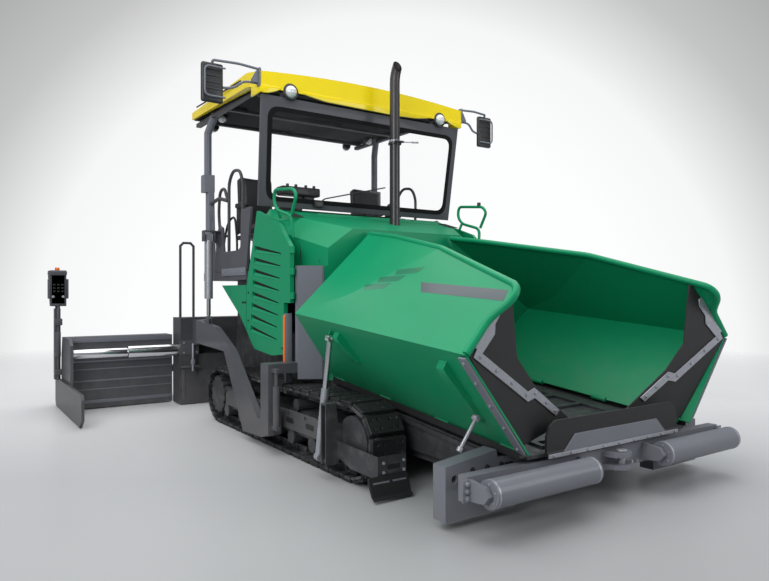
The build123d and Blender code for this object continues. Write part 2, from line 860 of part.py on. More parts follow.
keep_both("mirrors", mirror_arm() - roof())

# ---------------------------------------------------------------- exhaust
exhaust_x = 270
exhaust_y = 130
exhaust_tube = 105
exhaust_wall = 4
exhaust_split_z = 2945
exhaust_top_z = 3750
exhaust_flange = 16
knuckle_tube = 20
knuckle_length = 34
exhaust_hinge_x = exhaust_x + exhaust_tube / 2 + exhaust_flange + knuckle_tube / 2 + 4
exhaust_hinge_z = exhaust_split_z


def exhaust_knuckle(low_y, high_y, side):
    """Knuckle of the stack's hinge, with its web above (1) or below (-1) the axis."""
    barrel = rod((exhaust_hinge_x, low_y, exhaust_hinge_z), (exhaust_hinge_x, high_y, exhaust_hinge_z), knuckle_tube)
    web_z = sorted((exhaust_hinge_z + side * 5, exhaust_hinge_z + side * 9))
    web = block((exhaust_x + exhaust_tube / 2 + 2, exhaust_hinge_x), (low_y, high_y), web_z)
    return barrel + web


def exhaust_lower():
    """Fixed stack from the hood to its flange."""
    foot = hood_top_z(exhaust_x) - 60
    top = exhaust_split_z - 5
    inner = exhaust_tube - 2 * exhaust_wall
    stack = pipe((exhaust_x, exhaust_y, foot), (exhaust_x, exhaust_y, top), exhaust_tube, inner)
    flange = pipe((exhaust_x, exhaust_y, top - exhaust_flange), (exhaust_x, exhaust_y, top),
                  exhaust_tube + 2 * exhaust_flange, inner)
    knuckles = [exhaust_knuckle(y, y + knuckle_length, -1)
                for y in (exhaust_y - 1.5 * knuckle_length - 4, exhaust_y + 0.5 * knuckle_length + 4)]
    return largest(joined([stack, flange, *knuckles]) - nodes["hood"])


def exhaust_upper():
    """Folding stack with its outlet cut on a slant, and the barrel of its hinge."""
    inner = exhaust_tube - 2 * exhaust_wall
    stack = pipe((exhaust_x, exhaust_y, exhaust_split_z), (exhaust_x, exhaust_y, exhaust_top_z),
                 exhaust_tube, inner)
    flange = pipe((exhaust_x, exhaust_y, exhaust_split_z), (exhaust_x, exhaust_y, exhaust_split_z + exhaust_flange),
                  exhaust_tube + 2 * exhaust_flange, inner)
    cut = prism([(exhaust_x - 100, exhaust_top_z + 60), (exhaust_x + 100, exhaust_top_z - 110),
                 (exhaust_x + 100, exhaust_top_z + 60)], 1, exhaust_y - 100, exhaust_y + 100)
    knuckle = exhaust_knuckle(exhaust_y - knuckle_length / 2, exhaust_y + knuckle_length / 2, 1)
    return joined([stack, flange, knuckle]) - cut


keep("exhaust_lower", exhaust_lower())
keep("exhaust_upper", exhaust_upper())

# ---------------------------------------------------------------- hopper wings
wing_corners = {
    "hinge_rear": (hopper_rear_x, hinge_y, hinge_rear_z),
    "hinge_front": (wing_front_x, hinge_y, hinge_front_z),
    "edge_front": (wing_front_x, wing_width_y, 1062),
    "edge_rear": (970, wing_width_y, 1232),
    "bend_front": (wing_front_x, 1176, 1257),
    "bend_rear": (1500, 1175, 1380),
    "rim_front": (3200, 1030, 1426),
    "rim_middle": (2170, 800, 1720),
    "rim_fold": (1200, 520, 1880),
    "rim_rear": (hopper_rear_x + 5, 480, 1940),
}
wing_panels = (
    ("hinge_rear", "edge_rear", "edge_front", "hinge_front"),
    ("edge_rear", "bend_rear", "bend_front", "edge_front"),
    ("bend_rear", "rim_middle", "rim_front", "bend_front"),
    ("bend_rear", "rim_fold", "rim_middle"),
    ("edge_rear", "rim_fold", "bend_rear"),
    ("edge_rear", "rim_rear", "rim_fold"),
)
rear_rib_x = wing_pin_high[0] + eye_length / 2 + 6
front_rib_x = 2745


def edge_z(x):
    """Height of the wing's lower edge at x."""
    (rear_x, _, rear_z), (front_x, _, front_z) = wing_corners["edge_rear"], wing_corners["edge_front"]
    return rear_z + (front_z - rear_z) * (x - rear_x) / (front_x - rear_x)


def floor_z(x, y):
    """Height of the underside of the wing's floor panel."""
    return hinge_z(x) + (edge_z(x) - hinge_z(x)) * (y - hinge_y) / (wing_width_y - hinge_y)


def rib(x, low_y, high_y, width, depth):
    """Rib across the underside of the floor panel, tapered at its lower end."""
    inside = wing_sheet / 2
    outline = [(low_y, floor_z(x, low_y) + inside), (high_y, floor_z(x, high_y) + inside),
               (high_y + depth * 0.5, floor_z(x, high_y) - depth * 0.9),
               (high_y, floor_z(x, high_y) - depth * 1.6), (low_y + depth, floor_z(x, low_y + depth) - depth)]
    return prism(outline, 0, x, x + width)


def wing():
    """Folded wing of one sheet with its rim tube, ribs, cylinder lug and hinge barrels."""
    sheet = folded_sheet(wing_corners, wing_panels, wing_sheet)
    names = ("rim_rear", "rim_fold", "rim_middle", "rim_front", "edge_front")
    rear, fold, middle, apex, low = (wing_corners[name] for name in names)
    bend = wing_corners["bend_front"]
    turn = eased(eased([middle, apex, bend], rim_corner), rim_corner * 0.4)[1:-1]
    pieces = [sheet, mitred_bar([rear, fold, middle, *turn, bend, low], rim_tube)]
    for share in (0.06, 0.36, 0.66, 0.94):
        x = hopper_rear_x + (wing_front_x - hopper_rear_x) * share
        pieces.append(rod((x - 90, hinge_y, hinge_z(x - 90)), (x + 50, hinge_y, hinge_z(x + 50)), hinge_tube))
    lug = wing_pin_high[0] - eye_length / 2 - 6 - bracket_plate
    pieces.append(rib(rear_rib_x, 1080, 1290, rib_width, rib_depth))
    pieces.append(rib(lug, 1200, 1290, bracket_plate, rib_depth))
    pieces.append(rib(front_rib_x, 960, 1290, rib_width, rib_depth))
    return joined(pieces)


def wing_flap(body):
    """Rubber lip inside the wing's front end, leaning into the hopper."""
    lean_y = 1300
    outline = [(300, 567), (700, 830), (884, 1020), (985, 1340), (1120, 1360), (1400, 1100), (1400, 960),
               (950, 500), (820, 470), (560, 520)]
    front = [Vector(wing_front_x + 2 - flap_lean * (lean_y - y), y, z) for y, z in outline]
    sheet = extrude(Face(Wire.make_polygon(front)), amount=flap_sheet, dir=(-1, 0, 0))
    return largest(sheet - body)


wing_body = wing()
keep_pair("wing", wing_body)
keep_pair("wing_flap", wing_flap(wing_body))

# ---------------------------------------------------------------- wing cylinders
barrel_end = 0.58
rod_start = 0.46
barrel_floor = 0.06


def wing_barrel():
    """Barrel with its bore and lower eye."""
    end = between(wing_pin_low, wing_pin_high, barrel_end)
    floor = between(wing_pin_low, wing_pin_high, barrel_floor)
    tube = rod(wing_pin_low, end, wing_barrel_size)
    eye = rod(*along_hinge(wing_pin_low, eye_length), eye_size)
    bore = rod(floor, between(wing_pin_low, wing_pin_high, 1), wing_rod_size + 2 * rod_clearance)
    pin_hole = rod(*along_hinge(wing_pin_low, eye_length * 2), cylinder_pin + 2 * pin_clearance)
    return (tube + eye) - bore - pin_hole


def wing_rod():
    """Rod with its upper eye."""
    start = between(wing_pin_low, wing_pin_high, rod_start)
    bar = rod(start, wing_pin_high, wing_rod_size)
    eye = rod(*along_hinge(wing_pin_high, eye_length), eye_size)
    return (bar + eye) - rod(*along_hinge(wing_pin_high, eye_length * 2), cylinder_pin)


keep_pair("wing_barrel", wing_barrel())
keep_pair("wing_rod", wing_rod())

# ---------------------------------------------------------------- bumper, beam and rollers
def bumper():
    """Cross member before the tracks, with end plates cut on a slope and lashing holes."""
    step_y = frame_half_width + 35
    outline = [(bumper_outer_y, bumper_z[0]), (bumper_outer_y, bumper_z[1]),
               (step_y, bumper_z[1] + bumper_slope), (step_y - 10, bumper_z[1]), (bumper_inner_y, bumper_z[1]),
               (bumper_inner_y, bumper_z[0])]
    plate = prism(outline, 0, *bumper_x) - rod((bumper_x[0] - 1, tie_y, tie_z), (bumper_x[1] + 1, tie_y, tie_z),
                                               tie_bore)
    return plate


pivot_boss = 76
pivot_half_height = 50
pivot_pin = 40
yoke_plate = 20


def bumper_middle():
    """Box between the end plates, under the deck, with the yoke and pin of the push beam."""
    box = block(bumper_x, (-bumper_inner_y - 1, bumper_inner_y + 1), (belly_z + 40, bumper_z[1]))
    reach = pivot_half_height + 2
    plates = [block((bumper_x[1] - 1, pivot_x + 30), (-60, 60), z)
              for z in ((roller_z + reach, roller_z + reach + yoke_plate),
                        (roller_z - reach - yoke_plate, roller_z - reach))]
    pin = rod((pivot_x, 0, roller_z - reach - yoke_plate), (pivot_x, 0, roller_z + reach + yoke_plate), pivot_pin)
    return joined([box, *plates, pin])


keep("bumper", joined([bumper(), flipped(bumper()), bumper_middle()]))

beam_x = (2935, 3010)
beam_end = 45
beam_height = 150
end_plate = 34
clevis_x = (3010, 3130)
clevis_half_width = 110
clevis_plate = 30
clevis_gap = 50
tow_bore = 50
tow_bore_x = 3080
tow_bore_length = 2 * clevis_plate + clevis_gap


def push_beam():
    """Beam that carries the rollers and turns on a pin in its middle, with a towing clevis."""
    half = beam_height / 2
    bar = block(beam_x, (-roller_outer_y - beam_end, roller_outer_y + beam_end), (roller_z - half, roller_z + half))
    boss = [(pivot_x, 0, roller_z - pivot_half_height), (pivot_x, 0, roller_z + pivot_half_height)]
    pieces = [bar, block((pivot_x, beam_x[0] + 1), (-pivot_boss / 2, pivot_boss / 2),
                         (roller_z - pivot_half_height, roller_z + pivot_half_height)), rod(*boss, pivot_boss)]
    side = [(clevis_x[0] - 5, -clevis_half_width), (clevis_x[1] - 40, -clevis_half_width + 20),
            (clevis_x[1], -40), (clevis_x[1], 40), (clevis_x[1] - 40, clevis_half_width - 20),
            (clevis_x[0] - 5, clevis_half_width)]
    for low in (roller_z - clevis_gap / 2 - clevis_plate, roller_z + clevis_gap / 2):
        pieces.append(prism(side, 2, low, low + clevis_plate))
    outline = [(beam_x[1] - 5, roller_z - 60), (beam_x[1] - 5, roller_z + 60), (roller_x + 10, roller_z + 45),
               (roller_x + 45, roller_z), (roller_x + 10, roller_z - 45)]
    for y in (-roller_outer_y - end_clearance - end_plate, -roller_inner_y + end_clearance,
              roller_inner_y - end_clearance - end_plate, roller_outer_y + end_clearance):
        pieces.append(prism(outline, 1, y, y + end_plate))
    pin = rod((tow_bore_x, 0, roller_z - beam_height), (tow_bore_x, 0, roller_z + beam_height), tow_bore)
    return joined(pieces) - pin - rod(*boss, pivot_pin + 2 * pin_clearance)


keep("push_beam", push_beam())
keep_pair("push_roller", rod((roller_x, roller_inner_y, roller_z), (roller_x, roller_outer_y, roller_z),
                             roller_diameter))
apron_pin_x = 3040
apron_pin_z = 415
apron_half_width = 690
apron_sheet = 16
apron_foot_z = 398
apron_top_z = 615


def apron():
    """Front apron with its upper corners cut on a slant, on its hinge rod."""
    outline = [(-apron_half_width, apron_foot_z), (apron_half_width, apron_foot_z),
               (apron_half_width, apron_top_z - 90), (apron_half_width - 25, apron_top_z - 35),
               (apron_half_width - 80, apron_top_z), (80 - apron_half_width, apron_top_z),
               (25 - apron_half_width, apron_top_z - 35), (-apron_half_width, apron_top_z - 90)]
    sheet = prism(outline, 0, apron_pin_x - apron_sheet / 2, apron_pin_x + apron_sheet / 2)
    return sheet + rod((apron_pin_x, -apron_half_width, apron_pin_z), (apron_pin_x, apron_half_width, apron_pin_z),
                       apron_sheet + 10)


keep("apron", apron())

# ---------------------------------------------------------------- augers
auger_x = -1750
auger_z = 240
auger_shaft = 90
auger_flight = 400
auger_blade = 14
auger_pitch = 330
auger_steps = 12
auger_inner_y = 75
auger_outer_y = 960
auger_end = 20


def flight(length):
    """Helical blade along +Z, from inside the shaft's skin to its outer edge."""
    radii = (auger_shaft / 2 - 6, auger_flight / 2)
    count = int(length / auger_pitch * auger_steps)
    stations = []
    for step in range(count + 1):
        angle = 2 * pi * step / auger_steps
        z = auger_pitch * step / auger_steps
        stations.append([Vector(radius * cos(angle), radius * sin(angle), z + rise)
                         for rise in (0, auger_blade) for radius in radii])
    loops = [[stations[0][corner] for corner in (0, 1, 3, 2)], [stations[-1][corner] for corner in (2, 3, 1, 0)]]
    sides = ((1, 0), (0, 2), (2, 3), (3, 1))
    for here, there in zip(stations[:-1], stations[1:]):
        for first, second in sides:
            loops.append([here[first], here[second], there[second]])
            loops.append([here[first], there[second], there[first]])
    return shell_of(loops)


def auger():
    """Shaft with one helical flight."""
    length = auger_outer_y - auger_inner_y
    shaft = Cylinder(auger_shaft / 2, length, align=(Align.CENTER, Align.CENTER, Align.MIN))
    screw = shaft + Pos(0, 0, auger_end) * flight(length - 2 * auger_end - auger_blade)
    return Pos(auger_x, auger_inner_y, auger_z) * Rot(-90, 0, 0) * screw


keep_pair("auger", auger())
gearbox_x = (auger_x - 110, auger_x + 110)
keep("auger_gearbox", block(gearbox_x, (-auger_inner_y + 10, auger_inner_y - 10), (120, 560))
     + block((gearbox_x[1] - 10, frame_rear_x), (-65, 65), (300, 560)))

# ---------------------------------------------------------------- tow arms and lift cylinders
arm_y = (arm_outer_y - arm_wall, arm_outer_y)
arm_outline = [(590, 175), (590, 340), (430, 340), (220, 250), (-440, 835), (-890, 1035), (-1430, 1085),
               (-1430, 830), (-640, 800), (-130, 80), (300, 100)]


def lift_lugs():
    """Two lugs on the arm that take the lift rod's eye between them."""
    pieces = []
    for y in (lift_y - lift_eye_width / 2 - 1 - lift_lug, lift_y + lift_eye_width / 2 + 1):
        pieces.append(prism([(lift_x - 70, 1030), (lift_x + 70, 1030), (lift_x + 35, lift_eye + 35),
                             (lift_x - 35, lift_eye + 35)], 1, y, y + lift_lug))
    return pieces


def tow_arm():
    """Arm from the tow point, up past the track and inwards to the screed."""
    front = prism(arm_outline, 1, *arm_y)
    jog = prism([(-1430, arm_y[0]), (-1430, arm_y[1]), (-1500, arm_y[1]), (-1800, arm_rear_y),
                 (-1830, arm_rear_y - arm_wall), (-1760, arm_rear_y - arm_wall)], 2, 830, 1085)
    rear = prism([(-1800, 830), (-1800, 1085), (screed_front_x, 1060), (screed_front_x, 730)],
                 1, arm_rear_y - arm_wall, arm_rear_y)
    pin = rod((tow_x, arm_y[0] - 6, tow_z), (tow_x, arm_y[1] + 6, tow_z), tow_pin)
    return joined([front, jog, rear, pin, *lift_lugs()])


def lift_barrel():
    """Barrel that hangs from its upper pin, open below for the rod."""
    low_z = lift_eye + lift_eye_size / 2 + lift_travel + 15
    tube = rod((lift_x, lift_y, low_z), (lift_x, lift_y, lift_top - lift_pin), lift_barrel_size)
    bore = rod((lift_x, lift_y, low_z - 1), (lift_x, lift_y, lift_top - 80), lift_rod_size + 2 * rod_clearance)
    hole = rod((lift_x, lift_y - lift_barrel_size, lift_top), (lift_x, lift_y + lift_barrel_size, lift_top),
               lift_pin + 2 * pin_clearance)
    reach = lift_pin + 4
    head = block((lift_x - reach, lift_x + reach), (lift_y - reach, lift_y + reach),
                 (lift_top - reach - 10, lift_top + reach))
    return (tube + head) - bore - hole


def lift_rod():
    """Rod with its lower eye."""
    bar = rod((lift_x, lift_y, lift_eye), (lift_x, lift_y, 1500), lift_rod_size)
    bar = bar - block((lift_x - 60, lift_x + 60), (lift_y - 60, lift_y - lift_eye_width / 2), (0, lift_eye + 45))
    bar = bar - block((lift_x - 60, lift_x + 60), (lift_y + lift_eye_width / 2, lift_y + 60), (0, lift_eye + 45))
    side = (lift_y - lift_eye_width / 2, lift_y + lift_eye_width / 2)
    eye = rod((lift_x, side[0], lift_eye), (lift_x, side[1], lift_eye), lift_eye_size)
    return (bar + eye) - rod((lift_x, side[0] - 1, lift_eye), (lift_x, side[1] + 1, lift_eye), lift_pin)


keep_both("tow_arms", tow_arm())
keep_pair("lift_barrel", lift_barrel())
keep_pair("lift_rod", lift_rod())

# ---------------------------------------------------------------- guide posts
post_gap = 12
guide_post_y = (arm_outer_y + post_gap, arm_outer_y + post_gap + 58)
guide_post_x = (440, 600)


def guide_post():
    """Upright before the tow point, with its arm from the frame and the levelling cylinder."""
    upright = block(guide_post_x, guide_post_y, (170, 785))
    top = block(guide_post_x, (frame_half_width, guide_post_y[1]), (track_top_z + 100, 785))
    cylinder = rod((665, guide_post_y[0] + 10, 240), (665, guide_post_y[0] + 10, 600), 62)
    stem = rod((665, guide_post_y[0] + 10, 600), (665, guide_post_y[0] + 10, 740), 34)
    lugs = [block((guide_post_x[1] - 5, 700), (guide_post_y[0] - 8, guide_post_y[0] + 28), z)
            for z in ((225, 260), (715, 750))]
    return joined([upright, top, cylinder, stem, *lugs])


keep_both("guide_posts", guide_post())

# ---------------------------------------------------------------- screed
screed_plate = 12
housing_length = 200
loop_tube = 32


def screed_box():
    """Basic screed: a profiled box with end housings, bores for the guide tubes, and its walkway."""
    outline = [(screed_rear_x, screed_bottom_z), (screed_front_x, screed_bottom_z), (screed_front_x, 330),
               (screed_front_x - 60, 420), (screed_front_x - 60, 900), (screed_front_x - 20, 960),
               (screed_front_x - 20, screed_top_z), (screed_rear_x, screed_top_z)]
    body = prism(outline, 1, -screed_half_width, screed_half_width)
    ends = [block((screed_rear_x, screed_front_x), y, (330, screed_top_z))
            for y in ((screed_half_width - housing_length, screed_half_width),
                      (-screed_half_width, housing_length - screed_half_width))]
    deck_x = (walkway_rear_x, extension_rear_x - 20)
    deck_y = (20 - screed_half_width, screed_half_width - 20)
    deck = block(deck_x, deck_y, walkway_z)
    lip = block((walkway_rear_x, walkway_rear_x + screed_plate), deck_y, (walkway_z[0] - 60, walkway_z[1]))
    carrier = block((walkway_rear_x, screed_rear_x + 1), (-60, 60), (100, walkway_z[1]))
    whole = joined([body, *ends, deck, lip, carrier])
    depth = extension_stroke - (tube_step_y - screed_half_width) + tube_overlap + bore_margin
    for side in (1, -1):
        start = side * (screed_half_width + 1)
        end = side * (screed_half_width - depth)
        whole = whole - rod((guide_tube_x, start, guide_tube_z), (guide_tube_x, end, guide_tube_z),
                            tube_stage + 2 * bore_clearance)
    return whole


def loop_rail():
    """Narrow loop on the screed's end, for the crew to hold."""
    x = screed_rear_x + 40
    y = 1200
    return mitred_bar(eased([(x, y - 170, screed_top_z - 10), (x, y - 170, 2030), (x, y, 2030),
                             (x, y, screed_top_z - 10)], 40), loop_tube)


keep("screed_box", joined([screed_box(), loop_rail(), flipped(loop_rail())]))


def extension():
    """Sliding screed part with ledges, its end plate, its walkway and the inner guide tube."""
    y = (screed_half_width + extension_gap, extension_outer_y)
    x = (extension_rear_x, screed_rear_x - slide_gap)
    outline = [(x[0], screed_bottom_z + 2), (x[1], screed_bottom_z + 2), (x[1], extension_top_z),
               (x[0] + 60, extension_top_z), (x[0] + 60, 700), (x[0], 640), (x[0], 520), (x[0] + 25, 500),
               (x[0] + 25, 250), (x[0], 230)]
    body = prism(outline, 1, *y)
    end = prism([(x[0], screed_bottom_z + 2), (guide_tube_x + 60, screed_bottom_z + 2),
                 (guide_tube_x + 90, 500), (guide_tube_x + 90, 790), (guide_tube_x, extension_top_z),
                 (x[0] + 60, extension_top_z), (x[0], 640)], 1, extension_outer_y, extension_outer_y + extension_side)
    deck_z = (walkway_z[1] + walkway_rise, walkway_z[1] + walkway_rise + walkway_plate)
    deck = block((walkway_rear_x, x[0] + 30), y, deck_z)
    tube = rod((guide_tube_x, tube_step_y - tube_overlap, guide_tube_z),
               (guide_tube_x, extension_outer_y + 5, guide_tube_z), tube_inner_stage)
    return joined([body, end, deck, tube])


keep_pair("extension", extension())
keep_pair("guide_tube", pipe((guide_tube_x, screed_half_width + 2, guide_tube_z),
                             (guide_tube_x, tube_step_y, guide_tube_z), tube_stage,
                             tube_inner_stage + 2 * bore_clearance))
gate_x = (-3200, -1440)
gate_post_x = -3060
gate_post_top_z = 1200


def end_gate():
    """Side plate of the mat with its upright, carriers and the crew's control box."""
    plate = prism([(gate_x[0], 60), (gate_x[0] + 60, 5), (gate_x[1] - 120, 5), (gate_x[1], 90),
                   (gate_x[1], 300), (gate_x[1] - 40, 350), (gate_x[0], 350)],
                  1, gate_inner_y, gate_inner_y + gate_plate)
    upright = block((gate_post_x - 60, gate_post_x + 60), (gate_inner_y, gate_inner_y + 60), (340, gate_post_top_z))
    carriers = [block(x, (extension_outer_y + extension_side, gate_inner_y + 5), (120, 300))
                for x in ((-2900, -2700), (-2480, -2420))]
    box = prism([(gate_inner_y - 60, 1230), (gate_inner_y + 100, 1230), (gate_inner_y + 120, 1610),
                 (gate_inner_y + 80, 1650), (gate_inner_y - 60, 1650)], 0, gate_post_x - 90, gate_post_x + 90)
    stem = block((gate_post_x - 25, gate_post_x + 25), (gate_inner_y, gate_inner_y + 50),
                 (gate_post_top_z - 1, 1240))
    return joined([plate, upright, *carriers, box, stem])


keep_pair("end_gate", end_gate())

for name, shape in nodes.items():
    export_step(shape, f"parts/{name}.step")
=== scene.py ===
# %% [markdown]
# # A tracked paver, dressed for the studio
# The solid model gives the frame of this scene: every plate, tube and cylinder already lies at its
# real place, in metres, with its joints. Here each of those pieces gets its finish, and the small
# and soft things that a solid model leaves out are modelled: bolts, rubbers, cushions, lamps, knobs.

# %% Load the solid model
import math
import bpy
from mathutils import Matrix, Vector


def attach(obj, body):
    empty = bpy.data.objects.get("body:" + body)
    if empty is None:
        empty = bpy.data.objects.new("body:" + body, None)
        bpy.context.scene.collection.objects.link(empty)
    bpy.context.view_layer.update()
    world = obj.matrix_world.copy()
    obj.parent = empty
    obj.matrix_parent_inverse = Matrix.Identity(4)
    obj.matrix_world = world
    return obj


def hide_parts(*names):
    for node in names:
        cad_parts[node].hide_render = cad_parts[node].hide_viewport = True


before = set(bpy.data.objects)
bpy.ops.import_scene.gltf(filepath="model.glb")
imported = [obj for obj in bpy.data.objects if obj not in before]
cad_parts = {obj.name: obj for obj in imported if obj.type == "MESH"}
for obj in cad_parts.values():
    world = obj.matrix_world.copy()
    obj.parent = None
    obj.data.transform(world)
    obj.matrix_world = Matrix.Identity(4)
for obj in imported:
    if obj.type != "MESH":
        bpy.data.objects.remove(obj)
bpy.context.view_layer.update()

# %% [markdown]
# ## Working by hand, in code
# The operators of Blender act on what is selected, so each piece starts with nothing selected. A
# primitive is only the start: its faces are picked by their place or by the way they look, and then
# inset, extruded or bevelled. At the end the place, turn and size go into the mesh, so that the
# object itself sits at the origin like every solid of the frame.

# %% Small helpers for modelling
def nothing_selected():
    """Leave edit mode and deselect everything."""
    if bpy.context.object and bpy.context.object.mode != "OBJECT":
        bpy.ops.object.mode_set(mode="OBJECT")
    bpy.ops.object.select_all(action="DESELECT")


def named(name):
    """Name the new primitive, put its place into its mesh and return it."""
    piece = bpy.context.object
    piece.name = name
    piece.data.name = name
    bpy.ops.object.transform_apply(location=True, rotation=True, scale=True)
    return piece


def only(piece):
    """Make one piece the selected and active one."""
    nothing_selected()
    piece.select_set(True)
    bpy.context.view_layer.objects.active = piece
    return piece


def pick_faces(piece, wanted):
    """Enter edit mode with the faces selected whose centre and normal pass a test."""
    only(piece)
    bpy.ops.object.mode_set(mode="EDIT")
    bpy.ops.mesh.select_mode(type="FACE")
    bpy.ops.mesh.select_all(action="DESELECT")
    bpy.ops.object.mode_set(mode="OBJECT")
    for face in piece.data.polygons:
        face.select = bool(wanted(face.center, face.normal))
    bpy.ops.object.mode_set(mode="EDIT")


def pick_all(piece):
    """Enter edit mode with the whole mesh selected."""
    only(piece)
    bpy.ops.object.mode_set(mode="EDIT")
    bpy.ops.mesh.select_mode(type="EDGE")
    bpy.ops.mesh.select_all(action="SELECT")


def done(piece, angle=35):
    """Leave edit mode, with faces smooth up to an angle."""
    only(piece)
    bpy.ops.object.shade_smooth_by_angle(angle=math.radians(angle))
    nothing_selected()
    return piece


def block(name, low, high, edge=0.004, segments=2):
    """Block between two corners, with its edges rounded by the bevel operator."""
    nothing_selected()
    middle = [(a + b) / 2 for a, b in zip(low, high)]
    bpy.ops.mesh.primitive_cube_add(size=1, location=middle)
    bpy.context.object.scale = [b - a for a, b in zip(low, high)]
    piece = named(name)
    pick_all(piece)
    bpy.ops.mesh.bevel(offset=edge, segments=segments, affect="EDGES")
    return done(piece)


def round_bar(name, start, end, radius, edge=0.002, sides=24):
    """Round bar between two points, with a small chamfer round both ends."""
    nothing_selected()
    start, end = Vector(start), Vector(end)
    turn = (end - start).to_track_quat("Z", "Y").to_euler()
    bpy.ops.mesh.primitive_cylinder_add(vertices=sides, radius=radius, depth=(end - start).length,
                                        location=(start + end) / 2, rotation=turn)
    piece = named(name)
    along = (end - start).normalized()
    pick_faces(piece, lambda place, normal: abs(normal.dot(along)) > 0.9)
    bpy.ops.mesh.bevel(offset=edge, segments=2, affect="EDGES")
    return done(piece)


def bent_tube(name, points, radius, bend=0.04, sides=10):
    """Tube along points, with each inner corner turned on an arc."""
    nothing_selected()
    places = [Vector(point) for point in points]
    line = [places[0]]
    for before, corner, after in zip(places[:-2], places[1:-1], places[2:]):
        cut = min(bend, (before - corner).length * 0.45, (after - corner).length * 0.45)
        first = corner + (before - corner).normalized() * cut
        last = corner + (after - corner).normalized() * cut
        for step in range(5):
            share = step / 4
            line.append(first.lerp(corner, share).lerp(corner.lerp(last, share), share))
    line.append(places[-1])
    curve = bpy.data.curves.new(name, "CURVE")
    curve.dimensions = "3D"
    curve.bevel_depth = radius
    curve.bevel_resolution = max(1, sides // 4)
    curve.use_fill_caps = True
    spline = curve.splines.new("POLY")
    spline.points.add(len(line) - 1)
    for point, place in zip(spline.points, line):
        point.co = (*place, 1)
    piece = bpy.data.objects.new(name, curve)
    bpy.context.collection.objects.link(piece)
    only(piece)
    bpy.ops.object.convert(target="MESH")
    return done(bpy.context.object, 50)


def joined(name, pieces):
    """Join pieces into one object."""
    nothing_selected()
    for piece in pieces:
        piece.select_set(True)
    bpy.context.view_layer.objects.active = pieces[0]
    if len(pieces) > 1:
        bpy.ops.object.join()
    pieces[0].name = name
    pieces[0].data.name = name
    nothing_selected()
    return pieces[0]


def twin_of(piece, name):
    """Mirror image of a piece on the other side, with its faces pointing outwards again."""
    other = bpy.data.objects.new(name, piece.data.copy())
    bpy.context.collection.objects.link(other)
    other.data.transform(Matrix.Scale(-1, 4, (0, 1, 0)))
    other.data.flip_normals()
    other.data.name = name
    return other


def wear(piece, material, body):
    """Give a piece its finish and the body that it rides on."""
    piece.data.materials.clear()
    piece.data.materials.append(material)
    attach(piece, body)
    return piece


# %% [markdown]
# ## Sums on sockets
# A finish is a small calculation that runs on every point of a surface. Written as Python sums it
# stays readable, so one small class wraps a socket and turns +, -, * and / into Math nodes.

# %% A socket that can be added and multiplied
class Amount:
    """One number that changes over a surface."""

    def __init__(self, finish, socket):
        self.finish = finish
        self.socket = socket

    def sum(self, operation, *values, clamp=False):
        node = self.finish.tree.nodes.new("ShaderNodeMath")
        node.operation = operation
        node.use_clamp = clamp
        for number, value in enumerate(values):
            self.finish.give(node.inputs[number], value)
        return Amount(self.finish, node.outputs[0])

    def __add__(self, other):
        return self.sum("ADD", self, other)

    def __sub__(self, other):
        return self.sum("SUBTRACT", self, other)

    def __mul__(self, other):
        return self.sum("MULTIPLY", self, other)

    def __truediv__(self, other):
        return self.sum("DIVIDE", self, other)

    __radd__ = __add__
    __rmul__ = __mul__

    def above(self, limit, soft=0.001):
        """0 below the limit and 1 above it, over a soft edge."""
        return self.sum("MULTIPLY_ADD", self, 1 / soft, 0.5 - limit / soft, clamp=True)

    def below(self, limit, soft=0.001):
        """1 below the limit and 0 above it."""
        return self.sum("MULTIPLY_ADD", self, -1 / soft, 0.5 + limit / soft, clamp=True)


